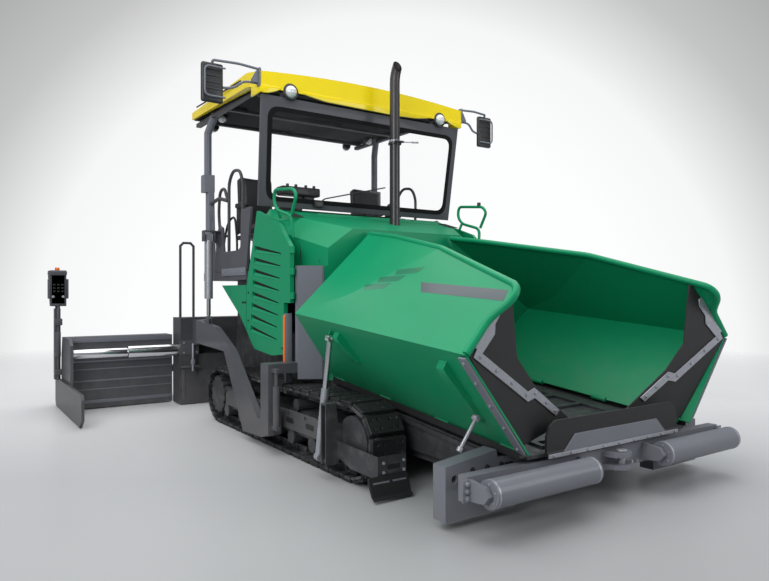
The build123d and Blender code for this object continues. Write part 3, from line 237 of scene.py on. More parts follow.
class Finish:
    """A material under construction: its nodes, its shader and the sockets that it fills."""

    def __init__(self, name, colour, roughness=0.5, metallic=0.0):
        self.material = bpy.data.materials.new(name)
        self.material.use_nodes = True
        self.tree = self.material.node_tree
        self.shader = self.tree.nodes["Principled BSDF"]
        self.colour = colour
        self.shader.inputs["Base Color"].default_value = (*colour, 1)
        self.shader.inputs["Roughness"].default_value = roughness
        self.shader.inputs["Metallic"].default_value = metallic
        self.material.diffuse_color = (*colour, 1)
        self.place = self.node("ShaderNodeTexCoord")["Object"]

    def give(self, socket, value):
        if isinstance(value, Amount):
            value = value.socket
        if hasattr(value, "is_output"):
            self.tree.links.new(value, socket)
        elif hasattr(value, "__len__") and len(value) == 3 and hasattr(socket.default_value, "__len__") \
                and len(socket.default_value) == 4:
            socket.default_value = (*value, 1)
        else:
            socket.default_value = value

    def node(self, kind, settings=None, values=None, stops=None):
        """Any node: its settings first, then its ramp stops, then the values of its sockets."""
        node = self.tree.nodes.new(kind)
        for key, value in (settings or {}).items():
            setattr(node, key, value)
        if stops:
            ramp = node.color_ramp.elements
            while len(ramp) < len(stops):
                ramp.new(0.5)
            for element, (place, colour) in zip(ramp, stops):
                element.position = place
                element.color = (*colour, 1)
        for key, value in (values or {}).items():
            self.give(node.inputs[key], value)
        return node.outputs

    def axes(self):
        """The three coordinates of a point, in metres, as amounts."""
        parts = self.node("ShaderNodeSeparateXYZ", values={0: self.place})
        return [Amount(self, parts[axis]) for axis in "XYZ"]

    def noise(self, scale, detail=3, squeeze=(1, 1, 1), roughness=0.55):
        """Cloudy pattern from 0 to 1, its cells so many to a metre."""
        at = self.node("ShaderNodeMapping", values={"Vector": self.place, "Scale": squeeze})[0]
        return Amount(self, self.node("ShaderNodeTexNoise",
                                      values={"Vector": at, "Scale": scale, "Detail": detail,
                                              "Roughness": roughness})["Fac"])

    def mix(self, share, first, second):
        """Colour between two colours."""
        outputs = self.node("ShaderNodeMix", settings={"data_type": "RGBA"},
                            values={0: share, 6: first, 7: second})
        return outputs[2]

    def bump(self, height, strength=0.2, distance=0.001):
        return self.node("ShaderNodeBump", values={"Height": height, "Strength": strength,
                                                   "Distance": distance})[0]

    def fill(self, **sockets):
        """Fill sockets of the shader, with _ for a space in their names."""
        for key, value in sockets.items():
            self.give(self.shader.inputs[key.replace("_", " ")], value)
        return self.material


def shade(colour, factor):
    """A colour made lighter or darker."""
    return tuple(min(1, part * factor) for part in colour)

# %% [markdown]
# ## Sprayed paint
# The panels are steel with a thick sprayed coat. Such a coat is even in colour, but its skin is a
# little wavy, like the peel of an orange, and road dust settles low down and dulls it. The coat is
# the shader's clear layer; the waves are a fine bump; the dust is a pale tint that fades upwards.

# %% Paint
def paint(name, colour, roughness=0.38, coat=0.05, peel=0.05, dust=0.35, gloss=0.17):
    """Sprayed paint with orange peel, faint clouds of colour and dust near the ground."""
    finish = Finish(name, colour, roughness)
    finish.shader.inputs["Specular IOR Level"].default_value = gloss
    clouds = finish.noise(2.5, 4)
    height = finish.axes()[2]
    low = height.below(0.45, 1.2) * finish.noise(7, 6).above(0.5, 0.5) * dust
    skin = finish.mix(clouds, shade(colour, 0.93), shade(colour, 1.07))
    dusty = finish.mix(low, skin, (0.23, 0.21, 0.19))
    fine = finish.noise(420, 2)
    return finish.fill(Base_Color=dusty, Roughness=clouds * 0.08 + low * 0.4 + (roughness - 0.04),
                       Coat_Weight=coat, Coat_Roughness=0.12,
                       Normal=finish.bump(fine, peel, 0.0006))


GREEN = (0.004, 0.255, 0.110)
YELLOW = (0.90, 0.70, 0.006)
DARK_GREY = (0.060, 0.062, 0.068)
MID_GREY = (0.080, 0.082, 0.094)
STEEL_GREY = (0.165, 0.175, 0.205)


green_paint = paint("green_paint", GREEN)
yellow_paint = paint("yellow_paint", YELLOW, roughness=0.3, coat=0.5, dust=0.0)
dark_paint = paint("dark_grey_paint", DARK_GREY, roughness=0.45, coat=0.15)
mid_paint = paint("mid_grey_paint", MID_GREY, roughness=0.45, coat=0.15)
grey_paint = paint("steel_grey_paint", STEEL_GREY, roughness=0.42, coat=0.2)

film_grey = paint("grey_film", (0.055, 0.075, 0.085), roughness=0.34, coat=0.3, peel=0.0)
film_green = paint("green_film", (0.004, 0.150, 0.078), roughness=0.34, coat=0.3, peel=0.0)

# %% [markdown]
# ## Metal that works
# Auger blades, conveyor bars and the soles of the tracks rub on stone all day. Their paint is gone
# where they rub, so a broad noise decides between dark skin and bare, brighter steel.

# %% Worn steel, bright rods and sooty pipes
def worn_steel(name, colour, bare=0.3, roughness=0.5):
    """Dark steel with brighter rubbed patches."""
    finish = Finish(name, colour, roughness, 0.6)
    rubbed = finish.noise(9, 6).above(0.56, 0.16) * bare
    scratches = finish.noise(60, 5, squeeze=(1, 8, 8))
    return finish.fill(Base_Color=finish.mix(rubbed, colour, (0.42, 0.42, 0.43)),
                       Roughness=scratches * 0.25 + (roughness - 0.1) - rubbed * 0.2,
                       Normal=finish.bump(scratches, 0.12, 0.0008))


def bright_rod(name):
    """Ground and chromed rod, with the faintest rings from grinding."""
    finish = Finish(name, (0.62, 0.63, 0.65), 0.16, 1.0)
    rings = finish.noise(300, 2, squeeze=(1, 1, 6))
    return finish.fill(Roughness=rings * 0.1 + 0.12, Normal=finish.bump(rings, 0.03, 0.0004))


def sooty_pipe(name):
    """Black heat-proof paint on the exhaust, paler and rougher towards its hot end."""
    finish = Finish(name, (0.05, 0.05, 0.052), 0.4, 0.5)
    height = finish.axes()[2]
    heat = height.above(3.35, 0.9) * finish.noise(16, 5)
    return finish.fill(Base_Color=finish.mix(heat, (0.050, 0.050, 0.053), (0.085, 0.075, 0.07)),
                       Roughness=heat * 0.25 + 0.30, Normal=finish.bump(finish.noise(250, 3), 0.12, 0.0006))


shoe_steel = worn_steel("shoe_steel", (0.030, 0.031, 0.033), 0.22, 0.55)
frame_steel = worn_steel("frame_steel", (0.074, 0.076, 0.082), 0.12, 0.5)
auger_steel = worn_steel("auger_steel", (0.060, 0.060, 0.062), 0.65, 0.45)
chrome = bright_rod("bright_rod")
pipe_black = sooty_pipe("pipe_black")

# %% [markdown]
# ## Rubber, plastic, vinyl and glass
# Rubber is nearly black and rough, with a fine grain. Moulded plastic has a coarser leather-like
# grain and a soft shine. The seats are vinyl over foam. The windscreen is plain safety glass: it
# lets the cab be seen, and only its reflections tell that it is there.

# %% Rubber, plastic, vinyl, glass
def grained(name, colour, roughness, grain, depth, coat=0.0):
    """Material with an even grain of so many cells to a metre."""
    finish = Finish(name, colour, roughness)
    cells = finish.node("ShaderNodeTexVoronoi", settings={"feature": "DISTANCE_TO_EDGE"},
                        values={"Vector": finish.place, "Scale": grain})[0]
    clouds = finish.noise(6, 4)
    return finish.fill(Base_Color=finish.mix(clouds, shade(colour, 0.8), shade(colour, 1.25)),
                       Roughness=clouds * 0.15 + (roughness - 0.07), Coat_Weight=coat,
                       Normal=finish.bump(cells, 0.25, depth))


rubber = grained("black_rubber", (0.011, 0.011, 0.012), 0.62, 260, 0.0008)
plastic = grained("moulded_plastic", (0.020, 0.021, 0.023), 0.45, 420, 0.0005, 0.1)
vinyl = grained("seat_vinyl", (0.022, 0.023, 0.025), 0.55, 340, 0.0006, 0.05)


def safety_glass(name, tint, alpha):
    """Flat glass: almost clear, with sharp reflections."""
    finish = Finish(name, tint, 0.04)
    streaks = finish.noise(3, 3, squeeze=(1, 1, 0.3))
    finish.material.surface_render_method = "BLENDED"
    return finish.fill(Alpha=streaks * 0.01 + alpha, Roughness=streaks * 0.03 + 0.02)


glass = safety_glass("windscreen_glass", (0.10, 0.12, 0.12), 0.015)
matt_black = grained("matt_black", (0.006, 0.006, 0.007), 0.7, 200, 0.0004)
matt_black.node_tree.nodes["Principled BSDF"].inputs["Specular IOR Level"].default_value = 0.15


def lamp_lens(name):
    """Ribbed clear lens over a bright reflector."""
    finish = Finish(name, (0.75, 0.77, 0.8), 0.12, 0.2)
    ribs = finish.node("ShaderNodeTexWave", settings={"bands_direction": "Y"},
                       values={"Vector": finish.place, "Scale": 40.0})["Fac"]
    return finish.fill(Base_Color=finish.mix(ribs, (0.55, 0.57, 0.6), (0.86, 0.88, 0.9)),
                       Coat_Weight=1.0, Normal=finish.bump(ribs, 0.4, 0.002))


lens = lamp_lens("lamp_lens")
orange = grained("orange_reflector", (0.85, 0.16, 0.01), 0.3, 300, 0.0006, 0.6)


def silver_paint(name):
    """Galvanised steel strip: pale grey with its cloudy spangle."""
    finish = Finish(name, (0.36, 0.37, 0.40), 0.38, 0.55)
    spangle = Amount(finish, finish.node("ShaderNodeTexVoronoi", values={"Vector": finish.place,
                                                                       "Scale": 90.0})["Distance"])
    return finish.fill(Base_Color=finish.mix(spangle, (0.30, 0.31, 0.345), (0.42, 0.43, 0.465)),
                       Roughness=spangle * 0.15 + 0.32, Normal=finish.bump(spangle, 0.05, 0.0005))


strip_steel = silver_paint("strip_steel")


def mirror_face(name):
    """Silvered mirror glass."""
    finish = Finish(name, (0.8, 0.82, 0.84), 0.03, 1.0)
    haze = finish.noise(30, 3)
    return finish.fill(Roughness=haze * 0.04 + 0.02)


mirror_glass = mirror_face("mirror_glass")
print("finishes:", len(bpy.data.materials))

# %% [markdown]
# ## Each solid its finish
# A table tells which finish each solid wears. The order matters only in that later lines win.

# %% Dress the solids
wears = (
    (dark_paint, ""),
    (green_paint, "hood grille hopper_wall side_door_left side_door_right side_panels wing_left wing_right"),
    (yellow_paint, "roof"),
    (shoe_steel, "track_left track_right"),
    (frame_steel, "track_frame_left track_frame_right frame tunnel rear_body conveyors engine"),
    (auger_steel, "auger_left auger_right"),
    (grey_paint, "bumper push_beam push_roller_left push_roller_right bulkheads roof_posts"),
    (mid_paint, "platform guide_posts tow_arms mirrors extension_left extension_right"),
    (strip_steel, "wing_barrel_left wing_barrel_right lift_barrel_left lift_barrel_right"),
    (chrome, "wing_rod_left wing_rod_right lift_rod_left lift_rod_right guide_tube_left guide_tube_right"),
    (rubber, "wing_flap_left wing_flap_right apron deflector_rubbers"),
    (pipe_black, "exhaust_lower"),
    (plastic, "console"),
    (vinyl, "seats"),
)


def dress(names, material):
    """Give one finish to the named solids, or to all of them."""
    for name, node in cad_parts.items():
        if not names or name in names.split():
            node.data.materials.clear()
            node.data.materials.append(material)


for material, names in wears:
    dress(names, material)
print("dressed", len(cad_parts), "solids")

# %% [markdown]
# ## A plain studio
# A pale floor whose colour darkens gently towards the front, painted shade for the fall of the light, a white
# surround, one broad light overhead and two soft ones from the sides. The world is white for what it lights
# and mirrors, and for the eye it is a soft glow that falls off upwards.

# %% Floor
def studio_floor():
    """Large floor with a satin sheen, its colour painted darker towards the viewer as shade, that fades into
    the glow behind it.
    """
    nothing_selected()
    bpy.ops.mesh.primitive_plane_add(size=240, location=(0, 0, -0.0005))
    floor = named("studio_floor")
    finish = Finish("floor_paint", (0.8, 0.8, 0.8), 0.34)
    along, across, _ = finish.axes()
    depth = along * -0.826 + across * 0.564
    # Painted shade: the ramp darkens the floor's colour towards the viewer and keeps it pale behind the
    # machine.
    glow = finish.node("ShaderNodeValToRGB", values={0: (depth + 5) / 12},
                       stops=((0.0, (0.30, 0.305, 0.31)), (0.25, (0.44, 0.445, 0.455)),
                              (0.52, (0.78, 0.785, 0.79)), (0.8, (0.93, 0.93, 0.93))))[0]
    reach = Amount(finish, finish.node("ShaderNodeVectorMath", settings={"operation": "LENGTH"},
                                       values={0: finish.place})["Value"])
    finish.material.surface_render_method = "BLENDED"
    floor.data.materials.append(finish.fill(Base_Color=glow, Roughness=finish.noise(1.5, 3) * 0.1 + 0.28,
                                            Alpha=reach.below(8.5, 7.0)))
    return floor


studio_floor()

# %% World and lamps
def studio_world():
    """White light all round; the eye sees a glow that falls off away from the horizon."""
    world = bpy.data.worlds.new("studio")
    bpy.context.scene.world = world
    world.use_nodes = True
    tree = world.node_tree
    shader = tree.nodes["Background"]
    place = tree.nodes.new("ShaderNodeTexCoord").outputs["Generated"]
    distance = tree.nodes.new("ShaderNodeVectorMath")
    distance.operation = "DISTANCE"
    distance.inputs[1].default_value = (-0.82, 0.56, -0.10)
    tree.links.new(place, distance.inputs[0])
    glow = tree.nodes.new("ShaderNodeValToRGB")
    stops = glow.color_ramp.elements
    stops.new(0.5)
    stops.new(0.6)
    for stop, (place_on_ramp, level) in zip(stops, ((0.36, 1.0), (0.49, 0.93), (0.60, 0.56), (0.72, 0.38))):
        stop.position, stop.color = place_on_ramp, (level * 0.99, level * 0.994, level, 1)
    tree.links.new(distance.outputs["Value"], glow.inputs[0])
    rays = tree.nodes.new("ShaderNodeLightPath")
    seen = tree.nodes.new("ShaderNodeMath")
    seen.operation = "MAXIMUM"
    tree.links.new(rays.outputs["Is Camera Ray"], seen.inputs[0])
    tree.links.new(rays.outputs["Is Transmission Ray"], seen.inputs[1])
    pick = tree.nodes.new("ShaderNodeMix")
    pick.data_type = "RGBA"
    pick.inputs[6].default_value = (0.32, 0.33, 0.35, 1)
    tree.links.new(seen.outputs[0], pick.inputs[0])
    tree.links.new(glow.outputs[0], pick.inputs[7])
    tree.links.new(pick.outputs[2], shader.inputs["Color"])
    shader.inputs["Strength"].default_value = 1.0


def soft_lamp(name, place, aim, size, power):
    """Square area lamp that looks at a point."""
    light = bpy.data.lights.new(name, "AREA")
    light.shape = "SQUARE"
    light.size = size
    light.energy = power
    lamp = bpy.data.objects.new(name, light)
    lamp.location = place
    lamp.rotation_euler = (Vector(aim) - Vector(place)).to_track_quat("-Z", "Y").to_euler()
    bpy.context.collection.objects.link(lamp)


studio_world()
soft_lamp("overhead", (-0.5, -0.5, 8.0), (0, 0, 1), 13.0, 1080)
soft_lamp("front_left", (4.5, -7.0, 4.2), (0.5, -0.5, 1.2), 4.0, 260)
soft_lamp("front_right", (8.0, 4.0, 3.5), (1.5, 0.5, 1.0), 3.5, 140)
bpy.context.scene.view_settings.view_transform = "Standard"

# %% Camera
def studio_camera():
    """Level camera at the front right, as low as a man's chest."""
    camera = bpy.data.cameras.new("studio_camera")
    camera.sensor_width = 36
    camera.lens = 36 * 657 / 769
    holder = bpy.data.objects.new("studio_camera", camera)
    holder.location = (5.81, -3.78, 1.42)
    holder.rotation_euler = (math.radians(90), 0, math.radians(55.68))
    bpy.context.collection.objects.link(holder)
    bpy.context.scene.camera = holder


studio_camera()

# %% [markdown]
# ## Plates and bolts
# Most trim on a machine like this is flat plate, cut to an outline and bolted on. A plate starts as
# a filled ring with one corner for each corner of the outline; the ring is moved to its outline,
# extruded to its thickness, and its edges get the small bevel that catches the light. A bolt head is
# modelled once and set down wherever a bolt belongs.

# %% Plates in any plane
def plane(origin, across, up):
    """Frame of a flat sheet: its own x runs across, its own y upwards, its thickness along z."""
    x = Vector(across).normalized()
    z = x.cross(Vector(up)).normalized()
    y = z.cross(x)
    return Matrix.Translation(Vector(origin)) @ Matrix((x, y, z)).transposed().to_4x4()


def plate(name, outline, frame_of, thickness, edge=0.002, segments=1, smooth=35):
    """Flat plate with an outline in its own frame, extruded to its thickness and bevelled."""
    nothing_selected()
    bpy.ops.mesh.primitive_circle_add(vertices=len(outline), fill_type="NGON")
    piece = named(name)
    for corner, (x, y) in zip(piece.data.vertices, outline):
        corner.co = frame_of @ Vector((x, y, 0))
    pick_all(piece)
    move = (frame_of.to_3x3() @ Vector((0, 0, 1))).normalized() * thickness
    bpy.ops.mesh.extrude_region_move(TRANSFORM_OT_translate={"value": move})
    bpy.ops.mesh.select_all(action="SELECT")
    bpy.ops.mesh.normals_make_consistent(inside=False)
    if edge:
        bpy.ops.mesh.bevel(offset=edge, segments=segments, affect="EDGES")
    return done(piece, smooth)


def rounded(outline, radius, steps=4):
    """Outline with each corner turned on an arc."""
    points = []
    count = len(outline)
    for number, corner in enumerate(outline):
        here = Vector(corner)
        before = Vector(outline[number - 1]) - here
        after = Vector(outline[(number + 1) % count]) - here
        cut = min(radius, before.length * 0.48, after.length * 0.48)
        first, last = here + before.normalized() * cut, here + after.normalized() * cut
        for step in range(steps + 1):
            share = step / steps
            points.append(tuple(first.lerp(here, share).lerp(here.lerp(last, share), share)))
    return points


def rectangle(x0, y0, x1, y1):
    return [(x0, y0), (x1, y0), (x1, y1), (x0, y1)]


# %% Bolt heads
def bolt_head():
    """Hexagon head on its washer, a unit across, standing on the origin."""
    nothing_selected()
    bpy.ops.mesh.primitive_cylinder_add(vertices=14, radius=0.62, depth=0.12, location=(0, 0, 0.06))
    washer = named("washer")
    nothing_selected()
    bpy.ops.mesh.primitive_cylinder_add(vertices=6, radius=0.5, depth=0.42, location=(0, 0, 0.33))
    head = named("head")
    pick_faces(head, lambda place, normal: normal.z > 0.9)
    bpy.ops.mesh.inset(thickness=0.08)
    bpy.ops.transform.translate(value=(0, 0, 0.06))
    return joined("bolt_head", [done(washer), done(head)])


bolt = bolt_head()
masters = [bolt]


def set_copies(name, piece, places):
    """Copies of a piece, each at its place and turn, joined to one object."""
    twins = []
    for matrix in places:
        twin = bpy.data.objects.new(name, piece.data.copy())
        bpy.context.collection.objects.link(twin)
        twin.data.transform(matrix)
        twins.append(twin)
    return joined(name, twins)


def standing(place, direction, size=1.0, turn=0.0):
    """Place, turn and size of a piece whose own z should point in a direction."""
    direction = Vector(direction)
    tilt = direction.to_track_quat("Z", "Y").to_matrix().to_4x4()
    return Matrix.Translation(Vector(place)) @ tilt @ Matrix.Rotation(turn, 4, "Z") @ Matrix.Scale(size, 4)


def bolts(name, places, direction, size, material, body):
    """Bolt heads of one size on one face, in one object."""
    heads = set_copies(name, bolt, [standing(place, direction, size, 0.3 * number)
                                    for number, place in enumerate(places)])
    return wear(heads, material, body)


def pair(piece, name, material, body):
    """Dress a piece of the left side and its mirror image on the right side."""
    other = twin_of(piece, name + "_right")
    piece.name = name + "_left"
    wear(piece, material, body.replace("SIDE", "left"))
    wear(other, material, body.replace("SIDE", "right"))
    return piece, other


def bolts_both(name, places, direction, size, material, body):
    """Bolt heads on the left side and their mirror images on the right side."""
    heads = set_copies(name, bolt, [standing(place, direction, size, 0.3 * number)
                                    for number, place in enumerate(places)])
    return pair(heads, name, material, body)


print("bolt head faces:", len(bolt.data.polygons))

# %% [markdown]
# ## Hopper wings
# Each wing is one sheet, folded into a sloping floor, a shelf and an upper panel that leans back
# inwards. Its rim is a tube that runs down the front corner on a wide arc. The panels are filled
# rings with shared corners, welded together and thickened by the solidify modifier. A rubber skirt
# on the tractor closes the gap along the hinge line.

# %% Wings
HINGE = (0.850, 0.655, 0.09524)
SHEET = 0.014
WING = {"hinge_rear": (0.740, 0.850, 0.655), "hinge_front": (3.050, 0.850, 0.435),
        "edge_front": (3.050, 1.350, 1.062), "edge_rear": (0.970, 1.350, 1.232),
        "bend_front": (3.050, 1.176, 1.257), "bend_rear": (1.500, 1.175, 1.380),
        "rim_middle": (2.170, 0.800, 1.720), "rim_fold": (1.200, 0.520, 1.880),
        "rim_rear": (0.745, 0.480, 1.940), "apex": (3.200, 1.030, 1.426)}
WING = {name: Vector(place) for name, place in WING.items()}


def arc(before, corner, after, radius, steps):
    """Points of an arc that turns a corner."""
    first = corner + (before - corner).normalized() * radius
    last = corner + (after - corner).normalized() * radius
    return [first.lerp(corner, step / steps).lerp(corner.lerp(last, step / steps), step / steps)
            for step in range(steps + 1)]


FRONT_ARC = arc(WING["rim_middle"], WING["apex"], WING["bend_front"], 0.17, 7)


def hinge_height(x):
    """Height of the wing's hinge line at x."""
    return HINGE[1] - HINGE[2] * (x - WING["hinge_rear"].x)


def wing_floor(x, y):
    """Height of the wing's floor panel at x and y."""
    rear, front = WING["edge_rear"], WING["edge_front"]
    edge = rear.z + (front.z - rear.z) * (x - rear.x) / (front.x - rear.x)
    return hinge_height(x) + (edge - hinge_height(x)) * (y - HINGE[0]) / (rear.y - HINGE[0])


def panel(corners):
    """One flat field of the wing's sheet."""
    nothing_selected()
    bpy.ops.mesh.primitive_circle_add(vertices=len(corners), fill_type="NGON")
    field = named("panel")
    for point, place in zip(field.data.vertices, corners):
        point.co = place
    return field


def wing_sheet():
    """The folded sheet: its fields joined at their common corners and given their thickness."""
    rows = (("hinge_rear", "edge_rear", "edge_front", "hinge_front"),
            ("edge_rear", "bend_rear", "bend_front", "edge_front"), ("bend_rear", "rim_fold", "rim_middle"),
            ("edge_rear", "rim_fold", "bend_rear"), ("edge_rear", "rim_rear", "rim_fold"),
            ("hinge_rear", "rim_rear", "edge_rear"))
    fields = [panel([WING[name] for name in row]) for row in rows]
    fields += [panel([WING["bend_rear"], WING["rim_middle"], *FRONT_ARC[:5]]),
               panel([WING["bend_rear"], *FRONT_ARC[4:], WING["bend_front"]])]
    sheet = joined("wing_sheet", fields)
    pick_all(sheet)
    bpy.ops.mesh.remove_doubles(threshold=0.0005)
    bpy.ops.mesh.normals_make_consistent(inside=False)
    bpy.ops.object.mode_set(mode="OBJECT")
    skin = sheet.modifiers.new("skin", "SOLIDIFY")
    skin.thickness = SHEET
    skin.offset = 0
    skin.use_even_offset = True
    only(sheet)
    bpy.ops.object.modifier_apply(modifier="skin")
    return done(sheet, 9)


def wing_rib(x, low_y, high_y, width, depth):
    """Tapered rib across the underside of the floor panel."""
    low, high, foot = wing_floor(x, low_y), wing_floor(x, high_y), wing_floor(x, low_y + depth)
    return plate("wing_rib", [(low_y, low), (high_y, high), (high_y + depth * 0.5, high - depth * 0.9),
                              (high_y, high - depth * 1.6), (low_y + depth, foot - depth)],
                 plane((x, 0, 0), (0, 1, 0), (0, 0, 1)), width, 0.003)


RIM_PATH = [WING["rim_rear"], WING["rim_fold"], WING["rim_middle"], *FRONT_ARC[1:-1], WING["bend_front"],
            WING["edge_front"] + Vector((0, -0.004, 0.004))]
wing = joined("wing_panels", [wing_sheet(), bent_tube("wing_rim", RIM_PATH, 0.0235, 0.05, 16),
                              wing_rib(1.498, 1.08, 1.29, 0.070, 0.060),
                              wing_rib(1.422, 1.20, 1.29, 0.012, 0.060),
                              wing_rib(2.745, 0.96, 1.29, 0.070, 0.060),
                              *[round_bar("wing_hinge", (x - 0.09, 0.85, hinge_height(x - 0.09)),
                                          (x + 0.05, 0.85, hinge_height(x + 0.05)), 0.021)
                                for x in (0.879, 1.572, 2.265, 2.911)]])
for side, piece in zip(("left", "right"), pair(wing, "wing_panels", green_paint, "wing_SIDE")):
    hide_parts("wing_" + side)
skirt_frame = plane((0.76, 0.765, hinge_height(0.76) - 0.038), (1, 0, -HINGE[2]), (0, 1, 0))
skirt = plate("hinge_skirt", rectangle(0, 0, 2.25, 0.125), skirt_frame, 0.004, 0.0005)
flange_frame = plane((0.76, 0.886, hinge_height(0.76) - 0.040), (1, 0, -HINGE[2]), (0, 0, 1))
flange = plate("skirt_flange", rectangle(0, 0, 2.25, 0.048), flange_frame, 0.004, 0.0005)
pair(joined("hinge_skirt", [skirt, flange]), "hinge_skirt", rubber, "chassis")
print("wing faces:", len(wing.data.polygons))

# %% [markdown]
# ## Trim of the hopper wings
# The front of each wing is closed by a rubber lip, so that no asphalt falls before the rollers. The
# rubber is clamped by grey steel strips with bolts through them. The outer strip has a small step,
# where it passes the wing's corner. All of this folds with the wing, so it rides on the wing.

# %% Clamp strips on the rubber lips
LIP_LEAN = 0.155
lip_front = plane((3.054 - LIP_LEAN * 1.3, 0, 0), (LIP_LEAN, 1, 0), (0, 0, 1))
lip_length = math.hypot(1, LIP_LEAN)


def on_lip(points):
    """Corners given by their y and z, laid on the leaning lip."""
    return [(y * lip_length, z) for y, z in points]


def along_strip(points):
    """Corners given along and across the clamp strip, turned into y and z."""
    return [(1.300 - 0.859 * s - 0.513 * t, 1.045 - 0.513 * s + 0.859 * t) for s, t in points]


strip_corners = along_strip([(0, 0), (0.60, 0), (0.655, 0.05), (0.93, 0.05), (0.95, 0.10), (0.62, 0.105),
                             (0.57, 0.055), (0, 0.055)])
strip = plate("lip_strip", on_lip(strip_corners), lip_front, 0.008)
pair(strip, "lip_strip", strip_steel, "wing_SIDE")
corner_plate = plate("lip_corner_plate",
                     on_lip([(1.295, 1.105), (1.225, 1.06), (1.11, 1.165), (1.105, 1.225), (1.04, 1.30),
                             (1.035, 1.355), (1.065, 1.37)]), lip_front, 0.008)
pair(corner_plate, "lip_corner_plate", strip_steel, "wing_SIDE")
lip = plate("wing_lip",
            on_lip([(0.300, 0.567), (0.700, 0.830), (0.884, 1.020), (0.930, 1.380), (0.945, 1.462),
                    (0.975, 1.462), (1.158, 1.258), (1.332, 1.060), (0.850, 0.460), (0.820, 0.470),
                    (0.560, 0.520)]), lip_front @ Matrix.Translation((0, 0, -0.014)), 0.012, 0.002)
for side, piece in zip(("left", "right"), pair(lip, "wing_lip", rubber, "wing_SIDE")):
    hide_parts("wing_flap_" + side)
lip_out = lip_front.to_3x3() @ Vector((0, 0, 1))
strip_bolts = on_lip(along_strip([(0.05, 0.028), (0.22, 0.028), (0.39, 0.028), (0.56, 0.028), (0.64, 0.078),
                                  (0.78, 0.078), (0.90, 0.075)]))
bolts_both("lip_bolts", [lip_front @ Vector((x, z, 0.008)) for x, z in strip_bolts], lip_out, 0.02,
           strip_steel, "wing_SIDE")

# %% Edge bar under each wing and the lock rod
floor_across = Vector((0, 0.6235, 0.7818))
floor_out = Vector((0, 0.7818, -0.6235))
edge_frame = plane((2.985, 0.865, 0.435), (1, 0, -0.02), floor_across)
edge_sign = 1 if (edge_frame.to_3x3() @ Vector((0, 0, 1))).dot(floor_out) > 0 else -1
edge_bar = plate("edge_bar", [(0, 0.03), (0.055, 0.0), (0.065, 0.02), (0.062, 0.785), (0, 0.785)], edge_frame,
                 0.014 * edge_sign)
pair(edge_bar, "edge_bar", grey_paint, "wing_SIDE")
bolts_both("edge_bolts", [edge_frame @ Vector((0.032, s, 0.014 * edge_sign))
                          for s in (0.06, 0.24, 0.42, 0.60, 0.75)], floor_out, 0.018, strip_steel,
           "wing_SIDE")

lock_rod = joined("lock_rod", [round_bar("lock_bar", (2.868, 1.105, 0.655), (2.864, 1.228, 0.49), 0.011),
                               round_bar("lock_eye", (2.885, 1.105, 0.655), (2.845, 1.105, 0.655), 0.02),
                               round_bar("lock_knob", (2.864, 1.224, 0.495), (2.863, 1.240, 0.472), 0.018)])
pair(lock_rod, "lock_rod", strip_steel, "wing_SIDE")
print("lips trimmed")

# %% [markdown]
# ## Grey bands on the wings
# The grey band on each wing is a film stuck on the upper panel. It starts as a flat sheet with a
# slanted rear end, divided lengthwise, and the shrinkwrap modifier lays it on the folded steel.

# %% Film on the wings
BAND = ((2.243, 1.478), (2.325, 1.410), (3.089, 1.360), (3.075, 1.423))


def film(name, corners, steps=16):
    """Sheet between four corners given by x and z, laid on the outside of the left wing."""
    nothing_selected()
    bpy.ops.mesh.primitive_grid_add(x_subdivisions=steps, y_subdivisions=3, size=1)
    sheet = named(name)
    rear_top, rear_low, front_low, front_top = [Vector((x, 1.25, z)) for x, z in corners]
    for corner in sheet.data.vertices:
        along, up = corner.co.x + 0.5, corner.co.y + 0.5
        corner.co = rear_low.lerp(front_low, along).lerp(rear_top.lerp(front_top, along), up)
    wrap = sheet.modifiers.new("wrap", "SHRINKWRAP")
    wrap.target = wing
    wrap.wrap_method = "PROJECT"
    wrap.use_project_y = True
    wrap.use_negative_direction = True
    wrap.use_positive_direction = False
    wrap.offset = 0.0012
    only(sheet)
    bpy.ops.object.modifier_apply(modifier="wrap")
    pick_all(sheet)
    bpy.ops.mesh.extrude_region_move(TRANSFORM_OT_translate={"value": (0, -0.0009, 0)})
    bpy.ops.mesh.select_all(action="SELECT")
    bpy.ops.mesh.normals_make_consistent(inside=False)
    return done(sheet)


pair(film("wing_band", BAND), "wing_band", film_grey, "wing_SIDE")
streaks = [film("wing_streak_%d" % number,
                ((x, 1.50 + rise), (x + 0.03, 1.46 + rise), (x + 0.26, 1.47 + rise), (x + 0.30, 1.51 + rise)),
                6) for number, (x, rise) in enumerate(((1.72, 0.02), (1.86, 0.075), (1.62, -0.035)))]
pair(joined("wing_streaks", streaks), "wing_streaks", film_green, "wing_SIDE")

# %% [markdown]
# ## Apron plates
# The apron is a thick rubber sheet, held by a pressed plate before it and a bolted bar along its foot.

# %% Apron
apron_front = plane((3.048, 0, 0), (0, 1, 0), (0, 0, 1))
apron_plate = plate("apron_plate", [(-0.545, 0.412), (0.545, 0.412), (0.435, 0.515), (-0.435, 0.515)],
                    apron_front, 0.007, 0.003)
wear(apron_plate, grey_paint, "apron")
apron_bar = plate("apron_bar", rectangle(-0.685, 0.388, 0.685, 0.414),
                  plane((3.053, 0, 0), (0, 1, 0), (0, 0, 1)), 0.010, 0.002)
wear(apron_bar, strip_steel, "apron")
bolts("apron_bolts", [(3.063, -0.64 + 0.16 * step, 0.401) for step in range(9)], (1, 0, 0), 0.019,
      strip_steel, "apron")

# %% [markdown]
# ## Tracks
# A paver drives on steel track shoes with rubber pads, because bare steel would mark the fresh
# road. One shoe is a plate across a pair of chain links, with a thick pad on it and two bolts at
# each end. It is modelled once, flat on the origin, and then set down all along the chain: forward
# below, round the idler, back above, round the sprocket.

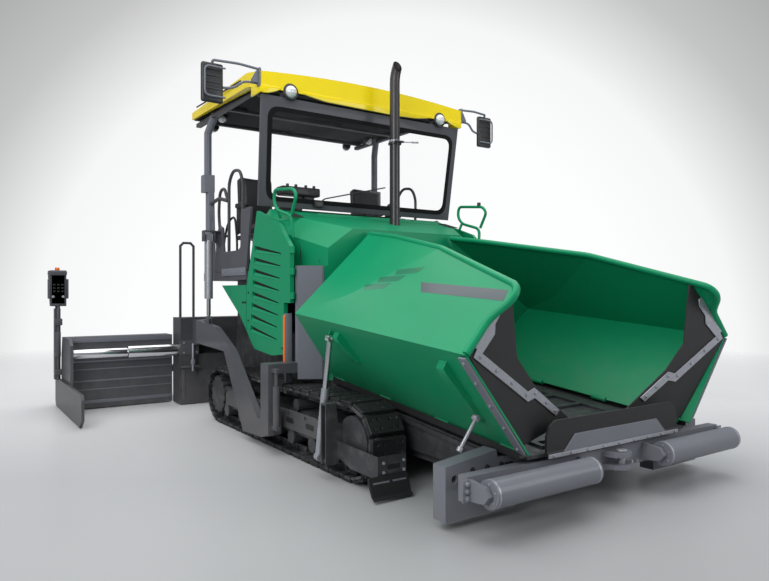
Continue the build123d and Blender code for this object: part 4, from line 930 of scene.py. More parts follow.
# %% The chain's path
SPROCKET_X, IDLER_X, RUN_SHOES, TURN_SHOES = -1.100, 1.690, 17, 5
PITCH = (IDLER_X - SPROCKET_X) / RUN_SHOES
CHAIN_RADIUS = TURN_SHOES * PITCH / math.pi
SHOE = 0.038
AXLE_Z = CHAIN_RADIUS + SHOE
TRACK_Y = (0.965, 1.270)


def chain_pin(number):
    """Place of one chain pin in the side view, counted from under the sprocket."""
    number = number % (2 * RUN_SHOES + 2 * TURN_SHOES)
    upper = number - RUN_SHOES - TURN_SHOES
    if number <= RUN_SHOES:
        centre, angle = SPROCKET_X + number * PITCH, -90
    elif upper <= 0:
        centre, angle = IDLER_X, -90 + 180 * (number - RUN_SHOES) / TURN_SHOES
    elif upper <= RUN_SHOES:
        centre, angle = IDLER_X - upper * PITCH, 90
    else:
        centre, angle = SPROCKET_X, 90 + 180 * (upper - RUN_SHOES) / TURN_SHOES
    turn = math.radians(angle)
    return Vector((centre + CHAIN_RADIUS * math.cos(turn), 0, AXLE_Z + CHAIN_RADIUS * math.sin(turn)))


def shoe_places(side):
    """Frame of each shoe: x along the chain, y across the track, z outwards."""
    places = []
    for number in range(2 * RUN_SHOES + 2 * TURN_SHOES):
        start, end = chain_pin(number), chain_pin(number + 1)
        along = (end - start).normalized()
        outward = Vector((along.z, 0, -along.x))
        across = outward.cross(along)
        frame_of = Matrix((along, across, outward)).transposed().to_4x4()
        places.append(Matrix.Translation((start + end) / 2 + Vector((0, side * sum(TRACK_Y) / 2,
                                                                     0))) @ frame_of)
    return places


# %% One shoe of each material
def track_shoe():
    """Steel shoe with the ears of its chain links, flat on the origin, its pad side up."""
    half_length, half_width = PITCH / 2 - 0.004, (TRACK_Y[1] - TRACK_Y[0]) / 2
    shoe = plate("shoe_plate", [(-half_length, -0.002), (-half_length + 0.012, 0.014),
                                (half_length - 0.012, 0.014), (half_length, -0.002),
                                (half_length - 0.01, -0.008), (-half_length + 0.01, -0.008)],
                 plane((0, half_width, 0), (1, 0, 0), (0, 0, 1)), 2 * half_width, 0.0015)
    parts = [shoe]
    for y in (-0.075, 0.055):
        parts.append(plate("link",
                           rounded([(-0.098, -0.058), (0.070, -0.058), (0.098, -0.03), (0.070, -0.004),
                                    (-0.098, -0.004)], 0.012, 2),
                           plane((0, y + 0.02, 0), (1, 0, 0), (0, 0, 1)), 0.02, 0))
    return joined("track_shoe", parts)


def shoe_pad():
    """Rubber pad with chamfered edges and a shallow recess in its top, on the plate."""
    half_length, half_width = PITCH / 2 - 0.012, (TRACK_Y[1] - TRACK_Y[0]) / 2 - 0.006
    pad = block("shoe_pad", (-half_length, -half_width, 0.012), (half_length, half_width, SHOE), 0.005, 1)
    pick_faces(pad, lambda place, normal: normal.z > 0.9)
    bpy.ops.mesh.inset(thickness=0.014)
    bpy.ops.transform.translate(value=(0, 0, -0.004))
    return done(pad)


def shoe_hole():
    """Recess for a bolt: a ring and its sunken floor."""
    nothing_selected()
    bpy.ops.mesh.primitive_cylinder_add(vertices=10, radius=0.013, depth=0.004, location=(0, 0, 0))
    ring = named("shoe_hole")
    pick_faces(ring, lambda place, normal: normal.z > 0.9)
    bpy.ops.mesh.inset(thickness=0.004)
    bpy.ops.transform.translate(value=(0, 0, -0.003))
    return done(ring)


shoe, pad, hole = track_shoe(), shoe_pad(), shoe_hole()
masters += [shoe, pad, hole]
hole_places = [Matrix.Translation((x, y, SHOE - 0.003)) for x in (-0.035, 0.035)
               for y in (-0.105, -0.05, 0.05, 0.105)]
for side, name in ((1, "left"), (-1, "right")):
    places = shoe_places(side)
    chain = set_copies("shoes_" + name, shoe, places)
    wear(chain, shoe_steel, "chassis")
    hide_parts("track_" + name)
    pads = set_copies("shoe_pads_" + name, pad, places)
    wear(pads, rubber, "chassis")
    holes = set_copies("shoe_bolts_" + name, hole, [frame_of @ spot for frame_of in places
                                                    for spot in hole_places])
    wear(holes, shoe_steel, "chassis")
print("shoes a side:", 2 * RUN_SHOES + 2 * TURN_SHOES, "faces a shoe:", len(shoe.data.polygons))

# %% [markdown]
# ## Around the tracks
# A plate guards the chain at its front, with a slot for the tie rod and two rows of bolts, and a rubber flap
# hangs from it with its clamp bars; the slot is a black sheet of painted shade. Along the side lies the cover
# of the track frame, open where the tension is set, its openings drawn as black sheets of painted shade.

# %% Guard, flap clamps and side covers
guard_face = plane((2.1, 0, 0), (0, 1, 0), (0, 0, 1))
# Black sheet on the guard: painted shade for the tie rod's slot.
guard_slot_shade = plate("guard_slot", rounded(rectangle(1.115, 0.19, 1.225, 0.225), 0.017), guard_face, 0.002, 0)
pair(guard_slot_shade, "guard_slot", rubber, "chassis")
bolts_both("guard_bolts", [(2.1, y, z) for y in (1.085, 1.255) for z in (0.175, 0.24)], (1, 0, 0), 0.02,
           strip_steel, "chassis")
flap_bars = joined("flap_bars", [
    plate("flap_bar", rounded(rectangle(1.085, 0.095, 1.20, 0.125), 0.004, 2),
          plane((2.123, 0, 0), (0, 1, 0), (0, 0, 1)), 0.008),
    plate("flap_bar_outer", rounded(rectangle(1.225, 0.095, 1.36, 0.125), 0.004, 2),
          plane((2.123, 0, 0), (0, 1, 0), (0, 0, 1)), 0.008)])
pair(flap_bars, "flap_bars", grey_paint, "chassis")

cover_plane = plane((0, 1.284, 0), (-1, 0, 0), (0, 0, 1))
cover = plate("track_cover",
              rounded([(-1.30, 0.235), (0.78, 0.235), (0.78, 0.36), (0.62, 0.40), (-1.18, 0.40),
                       (-1.30, 0.36)], 0.03), cover_plane, -0.012, 0.003)
pair(cover, "track_cover", dark_paint, "chassis")
# Black sheets on the track cover: painted shade for its openings.
cover_slots = joined("cover_slots",
                     [plate("cover_slot", rounded(rectangle(-x - 0.07, 0.29, -x + 0.07, 0.335), 0.02),
                            plane((0, 1.2842, 0), (-1, 0, 0), (0, 0, 1)), 0.001, 0)
                      for x in (-0.42, 0.15, 0.72, 1.08)])
pair(cover_slots, "cover_slots", rubber, "chassis")
bolts_both("cover_bolts", [(x, 1.284, 0.375) for x in (-0.5, -0.2, 0.1, 0.4, 0.7, 1.0)], (0, 1, 0), 0.02,
           frame_steel, "chassis")

# %% [markdown]
# ## Body panels
# Air for the radiator enters by louvres in the side doors. Each louvre is a slanted slot: its floor starts
# flush at the lower edge and leans inwards, and above it stays a dark gap. The slots are cut in the solid
# doors already, so each one only needs its leaning floor and a black sheet behind it, painted shade for the
# dark gap.

# %% Louvres of the side doors
DOOR_Y = 1.200
LOUVRE_TOP, LOUVRE_STEP, LOUVRE_PITCH, LOUVRES = (-0.231, 1.860), 0.014, 0.112, 8
x0, z0 = LOUVRE_TOP
# Black sheet set behind each slot: painted shade for the gap inside the door.
louvre_shade = plate("louvre_painted_shade", [(-x0 - 0.002, z0 - 0.002), (-x0 - 0.598, z0 - 0.101), (-x0 - 0.598, z0 - 0.124),
                             (-x0 - 0.002, z0 - 0.068)],
             plane((0, DOOR_Y - 0.0245, 0), (-1, 0, 0), (0, 0, 1)), 0.001, 0)
floor_frame = plane((x0 + 0.6, DOOR_Y - 0.001, z0 - 0.124), (-0.6, 0, 0.055), (0, -0.019, 0.05))
lean = plate("louvre_floor", [(0, 0), (0.6015, 0), (0.6015, 0.034), (0, 0.013)], floor_frame, 0.003, 0.001)
masters += [louvre_shade, lean]
louvre_places = [Matrix.Translation((-LOUVRE_STEP * number, 0, -LOUVRE_PITCH * number))
                 for number in range(LOUVRES)]
louvre_shades, floors = set_copies("louvre_backs", louvre_shade, louvre_places), set_copies("louvre_floors", lean,
                                                                            louvre_places)
pair(louvre_shades, "louvre_backs", rubber, "side_door_SIDE")
pair(floors, "louvre_floors", green_paint, "side_door_SIDE")
bolts_both("door_bolts", [(x, DOOR_Y, z) for x, z in ((-0.38, 1.12), (-0.38, 1.40), (0.40, 0.90))], (0, 1, 0),
           0.016, rubber, "side_door_SIDE")
bolts_both("panel_bolts", [(x, DOOR_Y, 1.30) for x in (-0.515, -0.455)], (0, 1, 0), 0.02, rubber, "chassis")

# %% Reflector and edge strips
reflector = plate("reflector", rounded(rectangle(-0.475, 0.735, -0.445, 1.20), 0.004, 2),
                  plane((0, 1.205, 0), (-1, 0, 0), (0, 0, 1)), 0.012)
carrier = block("reflector_carrier", (0.44, 1.145, 0.50), (0.482, 1.204, 1.215))
pair(joined("reflector", [reflector]), "reflector", orange, "chassis")
pair(carrier, "reflector_carrier", grey_paint, "chassis")
edge_strip = block("platform_strip", (-1.10, 1.196, 1.575), (-0.442, 1.212, 1.655), 0.003)
pair(edge_strip, "platform_strip", grey_paint, "chassis")
bolts_both("strip_screws", [(x, 1.212, 1.615) for x in (-1.05, -0.50)], (0, 1, 0), 0.018, strip_steel,
           "chassis")
print("louvres:", LOUVRES)

# %% [markdown]
# ## Hood
# The radiator's clean air comes in behind the hood's crown, by an intake with thin ribs. Sheet panels meet in
# seams, which are narrow dark lines, and the vent under the windscreen is a narrow black strip too, painted
# shade for its opening.

# %% Hood seams, vents and intake ribs
HOOD_EDGE = ((-0.18, 2.225), (0.25, 2.106), (0.70, 1.985))


def hood_edge(x):
    """Height of the hood's upper edge, where its top meets its side."""
    (start_x, start_z), (end_x, end_z) = HOOD_EDGE[:2] if x < HOOD_EDGE[1][0] else HOOD_EDGE[1:]
    return start_z + (end_z - start_z) * (x - start_x) / (end_x - start_x)


def hood_line(name, points):
    """Narrow dark seam along points on the hood's right side, and its mirror image."""
    seam = bent_tube(name, [(x, -y, z) for x, y, z in points], 0.003, 0.03, 8)
    pair(seam, name, rubber, "chassis")


hood_line("hood_seam", [(0.02, -1.055, 2.090), (0.131, -1.063, 2.056), (0.321, -1.077, 1.960),
                        (0.438, -1.047, 1.852), (0.452, -1.039, 1.674)])
hood_line("front_seam", [(0.604, -0.935, 1.845), (0.622, -0.943, 1.672)])
seams = joined("hood_seams",
               [block("seam_across", (0.092, -0.93, hood_edge(0.096) - 0.004),
                      (0.098, 0.93, hood_edge(0.096) + 0.0015), 0.0006, 1),
                # The screen vent is a black strip: painted shade for the vent's opening.
                block("screen_vent", (-0.172, -1.02, 2.222), (-0.135, 0.40, 2.2275), 0.001, 1)])
wear(seams, rubber, "chassis")
mesh_rise = hood_edge(0.24) - hood_edge(0.02)
mesh_frame = plane((0.02, 0.90, hood_edge(0.02) + 0.003), (0.22, 0, mesh_rise), (0, 1, 0))
mesh_ribs = [plate("vent_rib", rectangle(0.03 * number, 0, 0.03 * number + 0.017, 0.11), mesh_frame, 0.006,
                   0.001) for number in range(8)]
pair(joined("vent_mesh", mesh_ribs), "vent_mesh", rubber, "chassis")

# %% [markdown]
# ## Grab hoops and rails
# The crew climbs up beside the hood and at the rear of the platform. Green hoops of bent tube stand
# on the hood's shoulders; dark hoops and rails guard the way up to the seats.

# %% Hoops beside the windscreen and at the rear
green_hoop = joined("grab_hoop", [
    bent_tube("hoop", [(0.455, 1.12, 1.90), (0.452, 1.14, 2.095), (0.16, 1.14, 2.175), (0.088, 1.14, 2.26),
                       (0.105, 1.14, 2.372), (0.50, 1.14, 2.330), (0.558, 1.14, 2.262), (0.462, 1.14, 2.105)],
              0.0155, 0.07, 12),
    round_bar("hoop_foot", (0.16, 1.10, 2.10), (0.16, 1.14, 2.18), 0.0145)])
hoops = pair(green_hoop, "grab_hoop", green_paint, "chassis")
hoop_knob = round_bar("hoop_knob", (0.44, 1.14, 2.345), (0.44, 1.14, 2.385), 0.02, 0.006)
wear(hoop_knob, plastic, "chassis")
rails = joined("platform_rail",
               [bent_tube("rear_hoop", [(-1.09, 1.13, 1.62), (-1.09, 1.13, 2.60), (-0.97, 1.13, 2.715),
                                        (-0.78, 1.13, 2.690), (-0.70, 1.13, 2.56), (-0.72, 1.13, 1.62)],
                          0.017, 0.08, 12), bent_tube("rear_bar",
                                                      [(-1.60, 1.15, 2.42), (-1.34, 1.15, 2.455),
                                                       (-1.09, 1.14, 2.40)], 0.021, 0.06, 12),
                bent_tube("rear_loop", [(-1.36, 1.10, 1.62), (-1.38, 1.14, 2.30), (-1.34, 1.14, 2.53),
                                        (-1.20, 1.14, 2.56), (-1.10, 1.14, 2.40)], 0.017, 0.09, 12),
                bent_tube("rear_brace", [(-1.37, 1.13, 2.16), (-1.22, 1.13, 2.02), (-1.09, 1.13, 2.02)],
                          0.014, 0.05, 10)])
rear_rails = pair(rails, "platform_rail", dark_paint, "chassis")
hose = bent_tube("rail_hose", [(-1.33, 1.10, 1.62), (-1.30, 1.11, 1.95), (-1.20, 1.10, 2.18),
                               (-1.02, 1.09, 2.24), (-0.98, 1.08, 1.95), (-1.00, 1.08, 1.62)], 0.012, 0.10, 8)
pair(hose, "rail_hose", rubber, "chassis")
for piece in (*hoops, *rear_rails):
    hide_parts("handrails")

# %% [markdown]
# ## Sides of the platform
# Each side wall is low beside the seats, where the crew climbs in, and rises at both ends. The arm at
# its rear end carries the upper pin of the screed's lift cylinder.

# %% Side walls with the arm of the lift cylinder
WALL_PLANE = plane((0, 1.170, 0), (-1, 0, 0), (0, 0, 1))
wall = plate("platform_wall",
             rounded([(1.31, 1.62), (0.45, 1.62), (0.33, 2.258), (0.585, 2.245), (0.600, 1.865),
                      (0.68, 1.838), (1.08, 1.838), (1.12, 2.105), (1.18, 2.13), (1.31, 2.06)], 0.02, 3),
             WALL_PLANE, 0.030, 0.004)
if max(corner.co.y for corner in wall.data.vertices) < 1.19:
    wall.data.transform(Matrix.Translation((0, 0.030, 0)))
arm = [block("arm_top", (-1.245, 1.198, 2.060), (-1.155, 1.382, 2.074), 0.002),
       plate("arm_web", [(1.198, 1.880), (1.259, 1.960), (1.259, 2.062), (1.198, 2.062)],
             plane((-1.206, 0, 0), (0, 1, 0), (0, 0, 1)), 0.012, 0.002),
       round_bar("arm_pin", (-1.200, 1.252, 2.0), (-1.200, 1.388, 2.0), 0.016)]
arm += [block("arm_cheek", (-1.245, y, 1.955), (-1.155, y + 0.012, 2.074), 0.002) for y in (1.258, 1.370)]
walls = pair(joined("platform_wall", [wall, *arm]), "platform_wall", mid_paint, "chassis")
for piece in walls:
    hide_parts("platform_sides")
inner_post = block("front_panel", (-0.585, 1.10, 1.62), (-0.575, 1.171, 2.24), 0.002)
pair(inner_post, "front_panel", dark_paint, "chassis")

# %% [markdown]
# ## Exhaust
# The stack folds at a clamp. Its outlet turns forward and is cut on a slope, so that rain stays out
# and the soot flies clear of the crew.

# %% Stack clamp, stack and outlet
EXHAUST = Vector((0.270, 0.130, 0))
clamp = joined("stack_clamp",
               [round_bar("clamp_ring", EXHAUST + Vector((0, 0, 2.940)), EXHAUST + Vector((0, 0, 2.966)),
                          0.0605, 0.003, 32), round_bar("clamp_screw",
                                                        EXHAUST + Vector((0.05, -0.075, 2.953)),
                                                        EXHAUST + Vector((-0.01, 0.0, 2.953)), 0.008),
                round_bar("clamp_shank", EXHAUST + Vector((0.03, 0.05, 2.953)),
                          EXHAUST + Vector((0.03, 0.27, 2.975)), 0.006),
                round_bar("clamp_handle", EXHAUST + Vector((0.03, 0.20, 2.968)),
                          EXHAUST + Vector((0.03, 0.28, 2.976)), 0.010)])
wear(clamp, strip_steel, "chassis")


def stack():
    """Straight tube that turns forward at its top, cut on a slope and hollowed from there."""
    pipe = bent_tube("stack",
                     [EXHAUST + Vector(point) for point in ((0, 0, 2.961), (0, 0, 3.655), (0.13, 0, 3.83))],
                     0.0525, 0.16, 24)
    pick_all(pipe)
    bpy.ops.mesh.bisect(plane_co=EXHAUST + Vector((0.055, 0, 3.70)), plane_no=(0.93, 0, 0.36),
                        clear_outer=True)
    bpy.ops.object.mode_set(mode="OBJECT")
    pick_faces(pipe, lambda place, normal: normal.z < -0.9 and place.z < 2.97)
    bpy.ops.mesh.delete(type="FACE")
    bpy.ops.object.mode_set(mode="OBJECT")
    skin = pipe.modifiers.new("skin", "SOLIDIFY")
    skin.thickness = 0.004
    skin.offset = -1
    only(pipe)
    bpy.ops.object.modifier_apply(modifier="skin")
    flange = round_bar("stack_flange", EXHAUST + Vector((0, 0, 2.946)), EXHAUST + Vector((0, 0, 2.961)),
                       0.060, 0.002, 32)
    web = block("stack_web", (0.322, 0.117, 2.947), (0.352, 0.143, 2.957), 0.001)
    knuckle = round_bar("stack_knuckle", (0.3525, 0.113, 2.945), (0.3525, 0.147, 2.945), 0.010)
    return joined("stack", [done(pipe, 40), flange, web, knuckle])


upper_stack = wear(stack(), pipe_black, "exhaust_upper")
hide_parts("exhaust_upper")
reach = [round(max(corner.co[axis] for corner in upper_stack.data.vertices), 3) for axis in range(3)]
print("stack reaches", reach)

# %% [markdown]
# ## Roof
# The roof is one moulding of yellow plastic. From below one sees its dark lining with stiffening folds, in a
# frame; at the front corners two round lamps sit in half-round pods, and each side has a slot for air, a
# black sheet of painted shade.

# %% Lining and side slots


def roof_foot(x):
    """Height of the roof's lower edge at x."""
    return 3.350 + (3.420 - 3.350) * (0.020 - x) / 0.320 if x > -0.30 else 3.420 + 0.080 * (-0.30 - x) / 1.83


def lining():
    """Dark lining under the roof: a plane divided lengthwise, set to the roof's foot, with raised folds."""
    nothing_selected()
    bpy.ops.mesh.primitive_grid_add(x_subdivisions=12, y_subdivisions=10, size=1)
    sheet = named("roof_lining")
    for corner in sheet.data.vertices:
        x, y = -1.055 + corner.co.x * 2.10, corner.co.y * 2.36
        corner.co = (x, y, roof_foot(x) - 0.004)
    pick_faces(sheet, lambda place, normal: -1.95 < place.x < -0.45 and 0.25 < abs(place.y) < 0.95)
    bpy.ops.mesh.inset(thickness=0.045)
    bpy.ops.transform.translate(value=(0, 0, -0.022))
    pick_all(sheet)
    bpy.ops.mesh.extrude_region_move(TRANSFORM_OT_translate={"value": (0, 0, -0.008)})
    bpy.ops.mesh.select_all(action="SELECT")
    bpy.ops.mesh.normals_make_consistent(inside=False)
    return done(sheet)


wear(lining(), matt_black, "chassis")
rim_beams = joined("roof_beams",
                   [block("beam", (-2.10, y - 0.03, 3.475 - 0.07), (-0.06, y + 0.03, 3.475 - 0.075 + 0.05))
                    for y in (-1.13, 1.13)])
wear(rim_beams, dark_paint, "chassis")
for index, x in enumerate((-0.33, -1.15, -1.98)):
    cross = block("roof_cross_%d" % index, (x - 0.025, -1.12, roof_foot(x) - 0.055),
                  (x + 0.025, 1.12, roof_foot(x) - 0.006))
    wear(cross, dark_paint, "chassis")

# Black sheet on each side of the roof: painted shade for the air slot.
roof_slot_shade = plate("roof_slot", rounded([(0.45, 3.515), (1.75, 3.548), (1.75, 3.562), (0.45, 3.532)], 0.006,
                                       2), plane((0, 1.243, 0), (-1, 0.014, 0), (0, 0, 1)), 0.008, 0)
pair(roof_slot_shade, "roof_slot", rubber, "chassis")

# %% Brow of the roof
BROW_PLANE = plane((0.002, 0, 0), (0, 1, 0), (0, 0, 1))
brow_middle = rounded([(-0.80, 3.358), (-0.74, 3.345), (-0.55, 3.318), (-0.10, 3.312), (0.35, 3.308),
                       (0.62, 3.322), (0.76, 3.345), (0.82, 3.358), (0.82, 3.375), (-0.80, 3.375)], 0.05, 3)
brow_end = rounded([(1.03, 3.358), (1.10, 3.325), (1.18, 3.300), (1.246, 3.300), (1.250, 3.375),
                    (1.03, 3.375)], 0.025, 3)
brow = joined("roof_brow", [plate("brow_middle", brow_middle, BROW_PLANE, 0.022, 0.003, 2)])
wear(brow, yellow_paint, "chassis")
brow_corner = joined("brow_corner", [plate("brow_end", brow_end, BROW_PLANE, 0.022, 0.003, 2),
                                     block("brow_side", (-0.20, 1.232, 3.302), (0.022, 1.252, 3.40), 0.006)])
pair(brow_corner, "brow_corner", yellow_paint, "chassis")

# %% Corner lamps
def corner_lamp():
    """Round lamp in its black pod at the left front corner of the roof."""
    nothing_selected()
    bpy.ops.mesh.primitive_uv_sphere_add(segments=28, ring_count=14, radius=0.062,
                                         location=(0.012, 0.93, 3.352))
    lens_piece = named("lamp_lens")
    pick_all(lens_piece)
    bpy.ops.mesh.bisect(plane_co=(-0.01, 0, 0), plane_no=(1, 0, 0), clear_inner=True, use_fill=True)
    bpy.ops.object.mode_set(mode="OBJECT")
    nothing_selected()
    bpy.ops.mesh.primitive_torus_add(major_radius=0.068, minor_radius=0.014, major_segments=32,
                                     minor_segments=10, location=(0.015, 0.93, 3.352),
                                     rotation=(0, math.pi / 2, 0))
    ring = named("lamp_ring")
    shell = round_bar("lamp_pod", (-0.09, 0.93, 3.362), (0.012, 0.93, 3.352), 0.076, 0.008, 32)
    return done(lens_piece, 60), joined("lamp_pod", [done(ring, 60), shell])


lamp_glass, pod = corner_lamp()
pair(lamp_glass, "corner_lamp", lens, "chassis")
pair(pod, "corner_lamp_pod", plastic, "chassis")


def work_lamp(name, place, aim, body="chassis"):
    """Round work lamp, one on each side."""
    place, aim = Vector(place), Vector(aim).normalized()
    shell = round_bar(name, place - aim * 0.05, place, 0.055, 0.006, 24)
    nothing_selected()
    bpy.ops.mesh.primitive_uv_sphere_add(segments=20, ring_count=10, radius=0.05, location=(0, 0, 0))
    glass_cap = named(name + "_lens")
    pick_all(glass_cap)
    bpy.ops.mesh.bisect(plane_co=(0, 0, 0), plane_no=(0, 0, 1), clear_inner=True, use_fill=True)
    bpy.ops.transform.resize(value=(1, 1, 0.35))
    bpy.ops.object.mode_set(mode="OBJECT")
    glass_cap.data.transform(standing(place, aim))
    pair(shell, name, plastic, body)
    pair(done(glass_cap, 60), name + "_lens", lens, body)


work_lamp("rear_lamp", (-2.075, 0.95, 3.42), (-0.8, 0.1, -0.5))
work_lamp("post_lamp", (-1.60, 1.02, 3.43), (0.3, 0.5, -0.6))

# %% [markdown]
# ## Windscreen
# The glass lies in a black rubber seal that follows the rounded window, inside the painted frame.

# %% Seal and wiper
screen_low, screen_high = Vector((-0.185, 0, 2.248)), Vector((-0.043, 0, 3.300))
screen_up = (screen_high - screen_low).normalized()
SCREEN_HEIGHT = (screen_high - screen_low).length
screen_frame = plane(screen_low + Vector((0.041, 0, -0.006)), (0, 1, 0), screen_up)


SCREEN_BASE = plane(screen_low, (0, 1, 0), screen_up)
SCREEN_WALL = 0.040


def window(grow, corner=0.125):
    """Outline of the window, grown on all sides, with round corners."""
    low, high = 1.114 + grow, 1.143 + grow
    return rounded([(-low, 0.070 - grow), (low, 0.070 - grow), (high, SCREEN_HEIGHT - 0.105 + grow),
                    (-high, SCREEN_HEIGHT - 0.105 + grow)], corner, 8)


def screen_surround():
    """Painted frame: a thick plate, with the window cut out by the boolean modifier."""
    sheet = plate("screen_surround", [(-1.194, 0), (1.194, 0), (1.223, SCREEN_HEIGHT),
                                      (-1.223, SCREEN_HEIGHT)], SCREEN_BASE, SCREEN_WALL, 0.005, 2)
    cutter = plate("window_cutter", window(0), SCREEN_BASE @ Matrix.Translation((0, 0, -0.02)),
                   2 * SCREEN_WALL, 0)
    cut = sheet.modifiers.new("window", "BOOLEAN")
    cut.object = cutter
    cut.operation = "DIFFERENCE"
    only(sheet)
    bpy.ops.object.modifier_apply(modifier="window")
    bpy.data.objects.remove(cutter)
    return done(sheet)


surround = wear(screen_surround(), mid_paint, "chassis")
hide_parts("windscreen_frame")
pane = plate("screen_pane", window(0.004), SCREEN_BASE @ Matrix.Translation((0, 0, 0.015)), 0.006, 0)
wear(pane, glass, "chassis")
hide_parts("windscreen_glass")


def window_seal():
    """Black seal round the window: a plate whose middle is cut out by the boolean modifier."""
    seal = plate("window_seal", window(0.010), screen_frame, 0.008, 0.002)
    cutter = plate("seal_cutter", window(-0.034, 0.10), screen_frame @ Matrix.Translation((0, 0, -0.02)),
                   0.06, 0)
    cut = seal.modifiers.new("middle", "BOOLEAN")
    cut.object = cutter
    cut.operation = "DIFFERENCE"
    only(seal)
    bpy.ops.object.modifier_apply(modifier="middle")
    bpy.data.objects.remove(cutter)
    return done(seal)


wear(window_seal(), matt_black, "chassis")
wiper = joined("wiper",
               [bent_tube("wiper_arm",
                          [screen_frame @ Vector(point)
                           for point in ((-0.55, 0.05, 0.02), (-0.50, 0.12, 0.03), (0.25, 0.30, 0.022))],
                          0.007, 0.03, 8), block("wiper_motor", (-0.14, -0.60, 2.27), (-0.10, -0.50, 2.33),
                                                 0.006)])
wear(wiper, plastic, "chassis")

# %% [markdown]
# ## Mirrors
# Each mirror is a black shell with silvered glass, seen from the seats. A light frame of tube guards
# it and carries it from the roof's corner.

# %% Mirror shells, glass and guard frames
MIRROR = Vector((-0.070, 1.686, 3.330))


def mirror_set():
    """Shell with its ribs, the glass on its face, and the guard frame on the left side."""
    x, y, z = MIRROR
    shell = block("mirror_shell", (x - 0.028, y - 0.102, z - 0.182), (x + 0.024, y + 0.102, z + 0.182), 0.02,
                  4)
    face = plate("mirror_face", rounded(rectangle(-0.088, -0.166, 0.088, 0.166), 0.03, 5),
                 plane((x - 0.0285, y, z), (0, 1, 0), (0, 0, 1)), -0.0015, 0)
    ribs = [block("mirror_rib", (x + 0.022, y - 0.075, z + step - 0.006),
                  (x + 0.029, y + 0.075, z + step + 0.006), 0.003)
            for step in (-0.12, -0.06, 0.0, 0.06, 0.12)]
    guard = [bent_tube("mirror_guard", [(x + 0.05, y - 0.11, z - 0.135), (x + 0.055, y + 0.085, z - 0.135),
                                        (x + 0.055, y + 0.085, z + 0.135), (x + 0.05, y - 0.11, z + 0.135)],
                       0.009, 0.05), bent_tube("mirror_bar",
                                               [(0.0, 1.235, 3.515), (0.0, 1.46, 3.530), (x + 0.02, y, 3.535),
                                                (x, y, 3.50)], 0.013, 0.04),
             bent_tube("mirror_brace", [(-0.02, 1.235, 3.385), (-0.02, 1.40, 3.385), (-0.045, 1.48, 3.31),
                                        (x - 0.035, y - 0.02, 3.30)], 0.012, 0.05),
             block("mirror_back", (x - 0.045, y - 0.03, z - 0.10), (x - 0.026, y + 0.03, z + 0.08), 0.004),
             block("mirror_plate", (-0.035, 1.246, 3.355), (0.028, 1.262, 3.53), 0.004),
             plate("mirror_gusset", [(0, 0), (0.075, 0.0), (0.075, 0.02), (0.03, 0.10), (0, 0.14)],
                   plane((0.0, 1.262, 3.385), (0, 1, 0), (0, 0, 1)), 0.008, 0.002)]
    return joined("mirror_shell", [shell, *ribs]), face, joined("mirror_guard", guard)


mirror_shell, mirror_plate, mirror_guard = mirror_set()
pair(mirror_shell, "mirror_shell", plastic, "chassis")
pair(mirror_plate, "mirror_plate", mirror_glass, "chassis")
for piece in pair(mirror_guard, "mirror_guard", grey_paint, "chassis"):
    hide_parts("mirrors")
print("roof, windscreen and mirrors dressed")

# %% [markdown]
# ## Operator's platform
# Two padded seats stand at the platform's sides, each behind its arm of the console. A seat is
# foam under vinyl: a block with rounded edges is blown up a little as cloth, so that its faces
# swell while its seams hold, and the stitched piping follows it.

# %% Padded cushion
def cushion(name, low, high, turn=0.0, pivot=None):
    """Padded block: remeshed fine, blown up by a short cloth run and smoothed."""
    piece = block(name, low, high, 0.035, 4)
    if turn:
        piece.data.transform(Matrix.Translation(pivot) @ Matrix.Rotation(turn, 4,
                                                                         "Y") @ Matrix.Translation(-pivot))
    only(piece)
    grain = piece.modifiers.new("grain", "REMESH")
    grain.mode = "VOXEL"
    grain.voxel_size = 0.012
    bpy.ops.object.modifier_apply(modifier="grain")
    before = [corner.co.copy() for corner in piece.data.vertices]
    cloth = piece.modifiers.new("cloth", "CLOTH")
    cloth.settings.use_pressure = True
    cloth.settings.uniform_pressure_force = 3.0
    cloth.settings.quality = 5
    cloth.settings.tension_stiffness = 20
    cloth.settings.compression_stiffness = 20
    cloth.settings.effector_weights.gravity = 0
    cloth.point_cache.frame_start, cloth.point_cache.frame_end = 1, 14
    for number in range(1, 15):
        bpy.context.scene.frame_set(number)
    bpy.ops.object.modifier_apply(modifier="cloth")
    bpy.context.scene.frame_set(1)
    for corner, start in zip(piece.data.vertices, before):
        move = corner.co - start
        corner.co = start + move * min(1, 0.022 / max(move.length, 1e-6))
    only(piece)
    soft = piece.modifiers.new("soft", "SUBSURF")
    soft.levels = soft.render_levels = 1
    bpy.ops.object.modifier_apply(modifier="soft")
    return done(piece, 60)


def piping(name, low, high, radius=0.006):
    """Welt cord round a cushion's widest line."""
    (x0, y0, z0), (x1, y1, z1) = low, high
    cut = 0.04
    z = (z0 + z1) / 2
    corners = [(x0 + cut, y0, z), (x1 - cut, y0, z), (x1, y0 + cut, z), (x1, y1 - cut, z), (x1 - cut, y1, z),
               (x0 + cut, y1, z), (x0, y1 - cut, z), (x0, y0 + cut, z), (x0 + cut, y0, z)]
    return bent_tube(name, corners, radius, 0.02, 8)


# %% Seats
SEAT_Y = 0.75
seat_low, seat_high = Vector((-1.225, SEAT_Y - 0.225, 2.03)), Vector((-0.775, SEAT_Y + 0.225, 2.125))
back_low, back_high = Vector((-1.245, SEAT_Y - 0.205, 2.10)), Vector((-1.155, SEAT_Y + 0.205, 2.72))
back_pivot = Vector((-1.20, SEAT_Y, 2.10))


